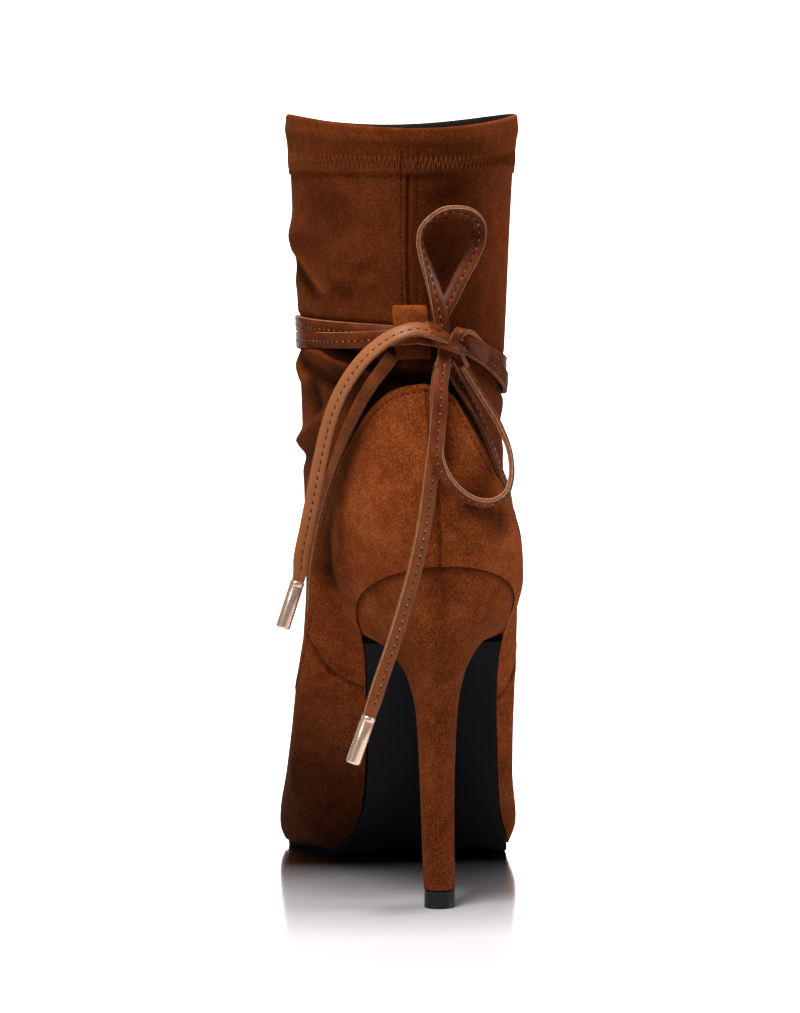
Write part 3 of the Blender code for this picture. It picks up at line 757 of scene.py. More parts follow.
    def topline(self, turn: Points) -> Points:
        """Level of the shell's topline at each turn."""
        signed = np.degrees((turn + math.pi) % (2 * math.pi) - math.pi)
        turns, medial, lateral = zip(*self.TOPLINE)
        inner = smooth(turns, medial, np.abs(signed))
        return np.where(signed > 0, inner, smooth(turns, lateral, np.abs(signed)))

    def lean(self, turn: Points) -> Points:
        """Share of a step up the surface that leads straight away from the topline, for turns all round."""
        top = self.topline(turn)
        edge = self.point(turn, top)
        along = unit(np.roll(edge, -1, axis=0) - np.roll(edge, 1, axis=0))
        up = unit(edge - self.point(turn, top - self.UP_STEP))
        return np.sqrt(1 - np.sum(along * up, axis=1) ** 2)

    def turn_at_y(self, y: Points | float) -> Points:
        """Turn at which the feather line reaches a place along the foot."""
        return np.arccos(1 - 2 * (y - self.SEAT_BACK_Y) / (self.TOE_TIP_Y - self.SEAT_BACK_Y))


LAST = Last()


def spread_turns(step_deg: float, fine: Sequence[Triple]) -> Points:
    """Turns all round the foot, closer together where a fine form needs them.

    Args:
        step_deg: Usual step in degrees.
        fine: Middle, half span and step of each finer stretch, in degrees.

    Returns:
        Rising turns in radians.
    """
    turns = [np.arange(0, 360, step_deg)]
    for middle, half, step in fine:
        turns[0] = turns[0][np.abs((turns[0] - middle + 180) % 360 - 180) > half]
        turns.append((middle + np.arange(-half, half + step / 2, step)) % 360)
    return np.radians(np.unique(np.round(np.concatenate(turns), 4)))


@dataclass(frozen=True)
class Relief:
    """A soft trough or ridge placed along a path on the boot, in millimetres."""

    # Degrees from the back, and level of the foot form or height, of places along the path.
    knots: tuple[Pair, ...]
    half_width: float
    # Positive for a trough, negative for a ridge.
    depth: float
    banks: float = 0.0
    fade: float = 0.28
    # Change of tone along the path, darker below zero: painted shade in troughs and shadows, painted light on
    # crests, and the dark line of a seam.
    tone: float = 0.0

    PATH_STEP = 1.5
    # Place and width of the banks in half widths, how far the form reaches in them, and a gap past all reach.
    BANK_PLACE = 1.9
    BANK_WIDTH = 0.8
    REACH = 4
    FAR = 1e3

    def path(self, by_height: bool, offset: float) -> Points:
        """Points along the path.

        Args:
            by_height: Whether the knots give heights instead of levels.
            offset: Distance of the path outside the foot form.

        Returns:
            One point a row.
        """
        turn = np.radians([knot[0] for knot in self.knots])
        level = np.array([knot[1] for knot in self.knots])
        if by_height:
            level = LAST.level_at_height(turn, level)
        return through(LAST.outside(turn, level, offset), self.PATH_STEP)

    def move(self, points: Points, path: Points) -> Points:
        """How far each point moves out along its normal.

        Args:
            points: Points of the surface.
            path: Points along this form's path.

        Returns:
            One distance for each point.
        """
        gap, ends = self.near(points, path)
        middle = bell(gap, 0.0, self.half_width)
        sides = bell(gap, self.BANK_PLACE * self.half_width, self.BANK_WIDTH * self.half_width)
        return ends * (self.banks * sides - self.depth * middle)

    def shade(self, points: Points, path: Points) -> Points:
        """Change of tone at each point."""
        gap, ends = self.near(points, path)
        return self.tone * ends * bell(gap, 0.0, self.half_width)

    def near(self, points: Points, path: Points) -> tuple[Points, Points]:
        """Distance of each point from the path, and how far the form has faded in there, from 0 to 1."""
        gaps, shares = np.full(len(points), self.FAR), np.zeros(len(points))
        span = self.REACH * self.half_width
        low, high = path.min(axis=0) - span, path.max(axis=0) + span
        near = np.nonzero(np.all((points > low) & (points < high), axis=1))[0]
        if len(near):
            gaps[near], along = nearest_on_path(points[near], path)
            shares[near] = ease(along / self.fade) * ease((1 - along) / self.fade)
        return gaps, shares


@dataclass(frozen=True)
class NapAndPaintedLightPatch:
    """A soft patch of changed tone, turned nap with painted shade and light: degrees from the back and
    millimetres of height.
    """

    turn_deg: float
    height: float
    half_deg: float
    half_height: float
    # Change of tone, darker below zero.
    tone: float

    def at(self, turn: Points, heights: Points) -> Points:
        """Change of tone at places of the surface."""
        round_ = (np.degrees(turn) - self.turn_deg + 180) % 360 - 180
        apart = (round_ / self.half_deg) ** 2 + ((heights - self.height) / self.half_height) ** 2
        return self.tone * np.exp(-(apart**1.5))


@dataclass(frozen=True)
class Stitching:
    """A row of machine stitches: sizes in millimetres."""

    pitch: float
    length: float
    radius: float

    # Along a stitch: share of its length, of its radius, and rise in radii. Its ends dip into the holes.
    PROFILE = ((0.0, 0.45, -0.9), (0.16, 0.9, 0.1), (0.5, 1.0, 0.45), (0.84, 0.9, 0.1), (1.0, 0.45, -0.9))
    SIDES = 6

    def between(self, starts: Points, ends: Points, outs: Points) -> Surface:
        """Stitches from each start to its end.

        Args:
            starts: Where each stitch comes up.
            ends: Where it goes down.
            outs: Outward direction at each stitch.

        Returns:
            Points and faces of all the stitches.
        """
        share, size, rise = (np.array(column) for column in zip(*self.PROFILE))
        way = ends - starts
        across = unit(np.cross(way, outs))
        turn = full_turn(self.SIDES)
        ring = np.cos(turn)[:, None, None] * across + np.sin(turn)[:, None, None] * outs
        centre = starts + share[:, None, None] * way + self.radius * rise[:, None, None] * outs
        grid = centre[:, None] + self.radius * size[:, None, None, None] * ring
        grids = np.transpose(grid, (2, 0, 1, 3))
        return join_grids(list(grids))

    def row(self, path: Points, outs: Points, shift: float = 0.0) -> Surface:
        """Stitches along a path.

        Args:
            path: Points along the row.
            outs: Outward direction at each of them.
            shift: How far along the path the row is moved.

        Returns:
            Points and faces of all the stitches.
        """
        reached = reach(path)
        count = int((reached[-1] - self.length) / self.pitch)
        first = np.arange(count) * self.pitch + (reached[-1] - count * self.pitch) / 2 + shift
        starts, ends, ways = (
            np.stack([np.interp(at, reached, rows[:, axis]) for axis in range(3)], axis=1)
            for at, rows in ((first, path), (first + self.length, path), (first + self.length / 2, outs))
        )
        return self.between(starts, ends, unit(ways))


@dataclass
class Shell:
    """Vamp, quarters and counter: the suede shell with its folded and stitched topline."""

    finishes: Finishes
    wall: float = 1.4
    edge_radius: float = 0.7
    stitch_drop: float = 1.9
    inner_rows: int = 12
    edge_rows: int = 6
    # Degrees between columns, and the middle, half span and step of the finer stretches at the seams.
    step_deg: float = 1.2
    fine: tuple[Triple, ...] = ((0.0, 4.0, 0.3), (79.0, 9.0, 0.3), (281.0, 9.0, 0.3))
    # Rows up to a share of the height, and closer rows from there to the edge.
    rows: tuple[tuple[float, float, int], ...] = ((0.0, 0.92, 66), (0.93, 1.0, 16))
    # Lowest level that a normal is taken at, and share of the height where the inside ends.
    lowest: float = 0.02
    # Levels over which the length of a level is measured at the edge.
    level_step: float = 0.05
    # Roll of the folded edge: height, distance under the edge and half width. Groove of the stitches: depth
    # and half width. Distance over which all relief fades out at the edge.
    roll: Triple = (0.24, 0.8, 0.7)
    groove: Pair = (0.26, 0.4)
    hold: float = 0.4
    # How deep the stitches lie in the suede, and their extra drop in radii of the edge.
    stitch_sink: float = 0.14
    stitch_lower: float = 0.2
    stitching: Stitching = Stitching(2.0, 1.4, 0.16)
    seams: tuple[Relief, ...] = (
        # Closed seam up the middle of the counter.
        Relief(((2.0, 0.05), (2.0, 1.32), (2.0, 3.2), (1.0, 3.9), (0.0, 4.36)), 0.6, 0.5, 0.16, 0.01, -0.5),
        # Lapped seams between vamp and quarters, one a side.
        Relief(((86.5, 3.0), (78.0, 2.07), (76.0, 1.31), (73.0, 0.06)), 0.7, 0.5, 0.2, 0.02, -0.6),
        Relief(((-86.5, 3.0), (-79.0, 2.07), (-77.0, 1.31), (-75.0, 0.06)), 0.7, 0.5, 0.2, 0.02, -0.6),
    )
    dents: tuple[Relief, ...] = (
        # Slack of the counter under the bow, darkened with a painted shadow of the lower loop, and of the
        # quarter above the arch.
        Relief(((-2.0, 2.15), (-14.0, 1.95), (-30.0, 1.55)), 5.4, 1.0, 0.2, 0.28, -0.72),
        Relief(((24.0, 3.4), (34.0, 2.4), (44.0, 1.5)), 7.0, 0.45, 0.15),
        Relief(((56.0, 2.7), (62.0, 1.9), (66.0, 1.0)), 4.0, 1.5, 0.9),
        # Fullness over the edge of the sole at the ball.
        Relief(((70.0, 0.3), (95.0, 0.32), (120.0, 0.34), (150.0, 0.4)), 5.0, -1.1, 0.0),
        Relief(((-70.0, 0.3), (-95.0, 0.32), (-120.0, 0.34), (-150.0, 0.4)), 5.0, -0.8, 0.0),
        # Painted shadow of the strap and the lace end on the counter beside the strap.
        Relief(
            ((22.0, 4.24), (35.0, 3.86), (45.0, 3.42), (54.0, 2.8), (61.0, 2.1), (66.0, 1.5)),
            5.6, 0.0, 0.0, 0.2, -0.62,
        ),
        # Flex lines across the vamp.
        Relief(((128.0, 1.3), (140.0, 1.9), (150.0, 2.2)), 3.2, 0.5, 0.3),
        Relief(((-126.0, 1.3), (-138.0, 1.9), (-149.0, 2.2)), 3.2, 0.5, 0.3),
    )  # fmt: skip
    nap_and_painted_light_patches: tuple[NapAndPaintedLightPatch, ...] = (
        # Painted light over the counter, painted shade low on the vamp and beside the bow.
        NapAndPaintedLightPatch(14.0, 140.0, 28.0, 24.0, 0.1),
        NapAndPaintedLightPatch(-34.0, 132.0, 16.0, 22.0, 0.08),
        NapAndPaintedLightPatch(-9.0, 152.0, 9.0, 14.0, -0.2),
        NapAndPaintedLightPatch(62.0, 116.0, 18.0, 34.0, -0.26),
        NapAndPaintedLightPatch(104.0, 10.0, 52.0, 66.0, -0.86),
        NapAndPaintedLightPatch(-112.0, 8.0, 44.0, 44.0, -0.3),
    )

    @property
    def outer(self) -> float:
        """Distance of the shell's outside from the foot form."""
        return FIT_GAP + self.wall

    def build(self) -> None:
        """Makes the shell and its topline stitches."""
        turn = spread_turns(self.step_deg, self.fine)
        top = LAST.topline(turn)
        shares = np.concatenate([np.linspace(*stretch) for stretch in self.rows])
        rows = [LAST.feather(turn, self.outer) + (0.0, 0.0, FIT_GAP)]
        rows += [LAST.outside(turn, top * share, self.outer) for share in shares[1:]]
        outside = np.stack(rows)
        normals = np.stack([LAST.normal(turn, np.maximum(top * share, self.lowest)) for share in shares])
        below = np.linalg.norm(np.diff(outside, axis=0), axis=2)[::-1].cumsum(axis=0)[::-1]
        below = np.vstack([below, np.zeros((1, len(turn)))]) * LAST.lean(turn)
        forms = [(form, form.path(False, self.outer)) for form in self.seams + self.dents]
        flat = outside.reshape(-1, 3)
        move = np.zeros(len(flat))
        for form, way in forms:
            move += form.move(flat, way)
        height, *place = self.roll
        depth, half = self.groove
        puff = height * bell(below, *place) - depth * bell(below, self.stitch_drop, half)
        held = ease(below / self.hold)
        move = move.reshape(outside.shape[:2]) * held + puff * held
        outside = outside + normals * move[..., None]
        inner_shares = np.linspace(1, self.lowest, self.inner_rows)
        inside = [LAST.outside(turn, top * share, FIT_GAP) for share in inner_shares]
        grid = np.concatenate([outside, self.edge(turn, top), np.stack(inside)])
        # Tone: patches of nap with painted light and shade, then painted shade and light along the forms.
        nap = sum(patch.at(turn, grid[..., 2]) for patch in self.nap_and_painted_light_patches)
        for form, way in forms:
            nap += form.shade(grid.reshape(-1, 3), way).reshape(nap.shape)
        quads = grid_faces(*grid.shape[:2], wrap_rows=True)
        piece = make_piece("upper_shell", grid, quads, [self.finishes.shell], nap=nap)
        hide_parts("upper")
        self.stitch(turn, top)

    def edge(self, turn: Points, top: Points) -> Points:
        """Rounded fold of the topline, from the outside over to the inside."""
        under = LAST.outside(turn, top - LAST.UP_STEP, self.outer)
        up = unit(LAST.outside(turn, top, self.outer) - under)
        rows = []
        for angle in np.linspace(0, math.pi, self.edge_rows + 2)[1:-1]:
            offset = FIT_GAP + self.wall / 2 + self.edge_radius * math.cos(angle)
            rows.append(LAST.outside(turn, top, offset) + up * self.edge_radius * math.sin(angle))
        return np.stack(rows)

    def stitch(self, turn: Points, top: Points) -> None:
        """Makes the row of stitches under the topline."""
        step = self.level_step
        per_level = np.linalg.norm(LAST.point(turn, top) - LAST.point(turn, top - step), axis=1) / step
        level = top - (self.stitch_drop + self.edge_radius * self.stitch_lower) / per_level / LAST.lean(turn)
        path = LAST.outside(turn, level, self.outer - self.stitch_sink)
        outs = LAST.normal(turn, level)
        points, faces = self.stitching.row(np.vstack([path, path[:1]]), np.vstack([outs, outs[:1]]))
        piece = make_piece("stitches_topline", points, faces, [self.finishes.suede_thread])


@dataclass
class Shaft:
    """Sock-like suede tube of the ankle, with its turned hem, back seam, folds and lining."""

    finishes: Finishes
    wall: float = 1.2
    lap: float = 10.0
    slack: float = 4.5
    # How far topline and lace draw the tube in, and millimetres in a level at the topline.
    tuck: float = 1.0
    press: float = 1.25
    level_mm: float = 17.0
    hem_height: float = 16.0
    hem_step: float = 0.7
    seam_turn: float = 3.5
    row_offset: float = 2.6
    seam_stitching: Stitching = Stitching(1.9, 1.35, 0.22)
    hem_stitching: Stitching = Stitching(1.7, 5.0, 0.24)
    hem_levels: Pair = (7.485, 7.69)
    # Girth at the hem, mean radius at the seam's rows, and how deep the hem's stitches lie.
    hem_girth: float = 236.0
    seam_radius: float = 36.0
    hem_sink: float = 0.22
    # Heights of the stitched stretch of the seam and points along it, and the lift of its stitches.
    seam_row: tuple[float, float, int] = (203.5, 261.0, 90)
    seam_lift: float = 0.05
    # Degrees between columns, half span and step of the finer ones at the seam, and rows of tube and hem.
    step_deg: float = 0.95
    fine: Pair = (6.0, 0.3)
    tube_rows: int = 140
    hem_rows: int = 22
    inner_rows: int = 8
    rim_rows: int = 9
    # Levels from the hem's lower edge to the tube's last row, to the rows of its step and to its face.
    hem_rises: Triple = (0.02, 0.008, 0.03)
    # Offset of the lower row of that step, and levels over which the hem takes over from the tube.
    step_foot: float = 0.4
    hem_blend: float = 0.02
    # Levels under the rim where the hem's face ends, and where the inside ends.
    rim_drop: float = 0.03
    inner_drop: float = 0.5
    # Height and lift of the rim's rounding.
    rim_round: Pair = (0.9, 0.3)
    # Half width of the mark that the lace presses, and which points of its path are looked at.
    press_half: float = 3.2
    press_every: int = 3
    # Place and half width of the tuck over the topline.
    tuck_place: Pair = (0.5, 3.0)
    # Shares of folds and of the seam that the doubled hem takes away.
    hem_calm: Pair = (0.75, 0.4)
    # Roll of the hem: height, level and half width. Groove of its stitches: depth and half width.
    hem_roll: Triple = (0.55, 7.86, 0.075)
    hem_groove: Pair = (0.35, 0.07)
    # Painted shadow in the recess over the topline, its reach, and the limits of all tones.
    recess_shadow_tone: float = -0.6
    recess_reach: float = 5.0
    tone_limits: Pair = (-0.85, 0.7)
    # Degrees between the lining's columns, its levels, its gap from the wall, and where it hangs free.
    lining_step_deg: float = 3.0
    lining_rows: tuple[tuple[float, float, int], ...] = ((7.62, 1.0, 60), (0.85, 0.12, 8))
    lining_gap: float = 0.15
    free_below: Pair = (7.6, 0.3)
    free_above: Pair = (2.0, 0.6)
    seam: Relief = Relief(
        ((3.5, 262.4), (3.5, 240.0), (3.5, 206.0), (3.5, 186.0)), 0.6, 0.65, 0.3, 0.01, -0.35
    )
    # Folds by degrees from the back and height: positive turns are the medial side. Their tones are painted
    # shade in troughs and painted light on crests.
    folds: tuple[Relief, ...] = (
        # High on the medial side: a roll at the silhouette, the crease down from it and the hollow under it.
        Relief(((58.0, 229.0), (85.0, 226.5), (110.0, 223.5), (140.0, 219.0)), 5.0, -1.7),
        Relief(
            ((98.0, 222.5), (84.0, 219.0), (67.0, 213.4), (55.5, 206.9), (50.0, 203.0)),
            1.5, -1.0, 0.0, 0.2, 0.34,
        ),
        Relief(((108.0, 218.5), (84.0, 213.8), (70.0, 207.6), (60.0, 201.4)), 3.6, 1.9, 0.3, 0.28, -0.4),
        Relief(((34.0, 212.8), (22.0, 215.7)), 2.2, 0.5, 0.3),
        Relief(((52.0, 208.0), (36.0, 203.6)), 3.0, 0.8, 0.4, 0.28, -0.15),
        Relief(((64.0, 240.0), (48.0, 231.0), (40.0, 222.0)), 6.0, 0.8, 0.3, 0.28, -0.12),
        # Slack on the outer side of the seam.
        Relief(((-14.0, 246.0), (-20.0, 230.0), (-22.0, 206.0)), 7.5, 1.0, 0.3),
        Relief(((-52.0, 238.0), (-46.0, 222.0), (-40.0, 208.0)), 7.0, 0.6, 0.2),
        # Pushed up under the lace on the medial side: a sharp crest with a deep trough above it.
        Relief(
            (
                (62.0, 190.6), (52.0, 189.2), (41.5, 187.2), (31.5, 184.8), (17.5, 181.2), (-0.5, 178.6),
                (-18.0, 177.0),
            ),
            2.2, 3.4, 0.0, 0.12, -0.75,
        ),
        Relief(
            ((84.0, 188.0), (68.0, 187.4), (52.0, 184.8), (40.0, 182.4), (28.0, 179.4)),
            2.1, -2.2, 0.0, 0.2, 0.25,
        ),
        # The hollow under the crest, the puff beside it and the fold that runs down behind the lace, darkened
        # with painted shade.
        Relief(((96.0, 183.6), (80.0, 181.4), (62.0, 178.6), (46.0, 175.0)), 2.6, 1.8, 0.2, 0.25, -0.4),
        Relief(((118.0, 181.5), (99.0, 180.4), (84.0, 176.6), (72.0, 173.6)), 2.8, -1.6, 0.0, 0.25, 0.12),
        Relief(((78.0, 177.0), (72.0, 171.0), (67.0, 164.0)), 5.2, 1.7, 0.0, 0.3, -0.72),
        Relief(((46.0, 180.5), (22.0, 179.6), (-4.0, 178.6), (-24.0, 177.0)), 4.2, 1.2, 0.0),
        # The roll above the topline at the medial silhouette, and the hollow under it.
        Relief(
            ((54.0, 166.0), (65.5, 163.4), (80.0, 159.0), (100.0, 154.8), (124.0, 150.0)),
            2.5, -2.2, 0.0, 0.2, 0.15,
        ),
        Relief(((62.0, 157.5), (80.0, 152.6), (104.0, 148.4), (124.0, 144.5)), 2.6, 1.0, 0.2, 0.2, -0.3),
        # Outer side under the lace.
        Relief(((-24.0, 184.0), (-48.0, 178.5), (-76.0, 170.0)), 2.6, 1.3, 0.4),
        Relief(((-50.0, 168.0), (-75.0, 161.0), (-104.0, 155.0)), 4.0, 0.8, 0.4),
        # Bend of the ankle at the front.
        Relief(
            ((132.0, 158.0), (158.0, 148.0), (180.0, 145.0), (202.0, 148.0), (228.0, 158.0)), 4.0, 1.4, 0.7
        ),
        Relief(
            ((140.0, 138.0), (160.0, 129.0), (180.0, 126.5), (200.0, 129.0), (220.0, 138.0)), 4.0, 1.1, 0.6
        ),
        Relief(((138.0, 174.0), (160.0, 167.0), (180.0, 165.0), (204.0, 169.0)), 3.6, 0.9, 0.5),
    )  # fmt: skip
    nap_and_painted_light_patches: tuple[NapAndPaintedLightPatch, ...] = (
        # Right of the seam the nap lies downwards and looks dark, with a painted shadow of the upper loop;
        # painted light towards the edges and the rim, and painted shade under the lace.
        NapAndPaintedLightPatch(-17.0, 224.0, 19.0, 40.0, -0.28),
        NapAndPaintedLightPatch(-76.0, 228.0, 26.0, 44.0, 0.72),
        NapAndPaintedLightPatch(41.0, 234.0, 10.0, 8.0, -0.16),
        NapAndPaintedLightPatch(58.0, 222.5, 10.0, 5.0, -0.16),
        NapAndPaintedLightPatch(24.0, 243.0, 18.0, 5.0, 0.1),
        NapAndPaintedLightPatch(20.0, 221.0, 14.0, 10.0, 0.07),
        NapAndPaintedLightPatch(48.0, 262.0, 58.0, 10.0, 0.34),
        NapAndPaintedLightPatch(-44.0, 263.0, 46.0, 8.0, 0.28),
        NapAndPaintedLightPatch(76.0, 238.0, 16.0, 20.0, 0.26),
        NapAndPaintedLightPatch(12.0, 180.5, 40.0, 11.0, -0.45),
        NapAndPaintedLightPatch(42.0, 176.0, 16.0, 9.0, -0.5),
    )

    @property
    def collar(self) -> float:
        """Level of the rim."""
        return LAST.TOP_LEVEL

    @property
    def hem(self) -> float:
        """Level of the hem's lower edge."""
        return self.collar - self.hem_height / (LAST.RINGS[8][1] - LAST.RINGS[7][1])

    def build(self, laces: Sequence[Points]) -> None:
        """Makes the tube, its lining and its stitches.

        Args:
            laces: Paths of the lace that lies on the tube and presses it in.
        """
        turn = spread_turns(self.step_deg, ((self.seam_turn, *self.fine),))
        low = LAST.topline(turn) - self.lap / (LAST.RINGS[4][1] - LAST.RINGS[3][1])
        top = self.collar - self.rim_drop
        last, step, face = self.hem_rises
        tube = [(low + (self.hem - last - low) * share, 0.0) for share in np.linspace(0, 1, self.tube_rows)]
        band = [(self.hem - step, self.step_foot), (self.hem + step, self.hem_step)]
        band += [(level, self.hem_step) for level in np.linspace(self.hem + face, top, self.hem_rows)]
        levels = np.stack([np.broadcast_to(level, turn.shape) for level, _ in tube + band])
        offsets = [offset for _, offset in tube + band]
        grid = np.stack([LAST.outside(turn, level, offset) for level, offset in zip(levels, offsets)])
        normals = np.stack([LAST.normal(turn, level) for level in levels])
        above = ((levels - LAST.topline(turn)) * LAST.lean(turn)).ravel() * self.level_mm
        shade = self.shade(turn, grid, above)
        grid = grid + normals * self.relief(grid, levels.ravel(), above, laces)[..., None]
        drops = np.linspace(self.rim_drop, self.inner_drop, self.inner_rows)
        inside = [LAST.outside(turn, self.collar - drop, -self.wall) for drop in drops]
        grid = np.concatenate([grid, self.rim(turn), np.stack(inside)])
        nap = np.vstack([shade, np.repeat(shade[-1:], len(grid) - len(levels), axis=0)])
        quads = grid_faces(*grid.shape[:2])
        inner = len(turn) * (len(levels) + self.rim_rows // 2 + 1)
        slots = (np.arange(len(quads)) >= inner).astype(int)
        cloths = [self.finishes.sock, self.finishes.lining]
        piece = make_piece("shaft_sock", grid, quads, cloths, slots, nap=nap)
        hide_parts("shaft")
        self.line()
        self.stitch()

    def relief(self, grid: Points, level: Points, above: Points, laces: Sequence[Points]) -> Points:
        """Moves along the normals: folds, seam, hem and the marks of lace and topline.

        Args:
            grid: Points of the tube and its hem.
            level: Level of each point.
            above: How far each point lies over the topline.
            laces: Paths of the lace that presses the tube in.

        Returns:
            One distance for each point of the grid.
        """
        flat = grid.reshape(-1, 3)
        folds = np.zeros(len(flat))
        for form in self.folds:
            folds += form.move(flat, form.path(True, 0.0))
        press = np.zeros(len(flat))
        for path in laces:
            gap, _ = nearest_on_path(flat, path[:: self.press_every])
            press = np.maximum(press, np.exp(-((gap / self.press_half) ** 4)))
        tuck = self.tuck * bell(above, *self.tuck_place)
        hem_band = ease((level - self.hem) / self.hem_blend)
        fold_calm, seam_calm = self.hem_calm
        move = folds * (1 - press) * (1 - fold_calm * hem_band) - self.press * press * (1 - hem_band) - tuck
        move += self.seam.move(flat, self.seam.path(True, 0.0)) * (1 - seam_calm * hem_band)
        height, *place = self.hem_roll
        depth, half = self.hem_groove
        puff = height * bell(level, *place) - depth * bell(level, np.mean(self.hem_levels), half)
        return (move + puff * hem_band).reshape(grid.shape[:2])

    def shade(self, turn: Points, grid: Points, above: Points) -> Points:
        """Tone of the nap: patches, painted shade and light of the folds, and painted shadow in the recess
        above the topline.
        """
        flat = grid.reshape(-1, 3)
        tone = sum(patch.at(turn, grid[..., 2]) for patch in self.nap_and_painted_light_patches).ravel()
        for form in (self.seam, *self.folds):
            tone = tone + form.shade(flat, form.path(True, 0.0))
        tone = tone + self.recess_shadow_tone * bell(above, 0.0, self.recess_reach)
        return np.clip(tone, *self.tone_limits).reshape(grid.shape[:2])

    def rim(self, turn: Points) -> Points:
        """Rounded fold of the collar, from the outside over to the inside."""
        half = (self.hem_step + self.wall) / 2
        middle = self.hem_step - half
        height, lift = self.rim_round
        rows = []
        for angle in np.linspace(0, math.pi, self.rim_rows):
            ring = LAST.outside(turn, self.collar - self.rim_drop, middle + half * math.cos(angle))
            rows.append(ring + (0.0, 0.0, height * math.sin(angle) + lift))
        return np.stack(rows)

    def line(self) -> None:
        """Makes the knitted lining of shaft and shell."""
        turn = spread_turns(self.lining_step_deg, ())
        levels = np.concatenate([np.linspace(*stretch) for stretch in self.lining_rows])
        (high, fade), (low, rise) = self.free_below, self.free_above
        free = self.slack * ease((high - levels) / fade) * ease((levels - low) / rise)
        depths = self.wall + self.lining_gap + free
        grid = np.stack([LAST.outside(turn, level, -depth) for level, depth in zip(levels, depths)])
        piece = make_piece("lining", grid, grid_faces(*grid.shape[:2]), [self.finishes.lining])

    def stitch(self) -> None:
        """Makes the two rows beside the back seam and the overlock row of the hem."""
        rows = []
        heights = np.linspace(*self.seam_row)
        for side in Side:
            turn = np.full(len(heights), math.radians(self.seam_turn))
            turn = turn + side.value * self.row_offset / self.seam_radius
            level = LAST.level_at_height(turn, heights)
            lift = np.where(level > self.hem, self.hem_step, 0.0) + self.seam_lift
            rows.append(self.seam_stitching.row(LAST.outside(turn, level, lift), LAST.normal(turn, level)))
        points, faces = merge(rows)
        piece = make_piece("stitches_back_seam", points, faces, [self.finishes.suede_thread])
        count = round(self.hem_girth / self.hem_stitching.pitch)
        turn = np.arange(2 * count) * math.pi / count
        level = np.where(np.arange(2 * count) % 2, *self.hem_levels)
        ends = LAST.outside(turn, level, self.hem_step - self.hem_sink)
        points, faces = self.hem_stitching.between(ends, np.roll(ends, -1, axis=0), LAST.normal(turn, level))
        piece = make_piece("stitches_hem", points, faces, [self.finishes.hem_thread])


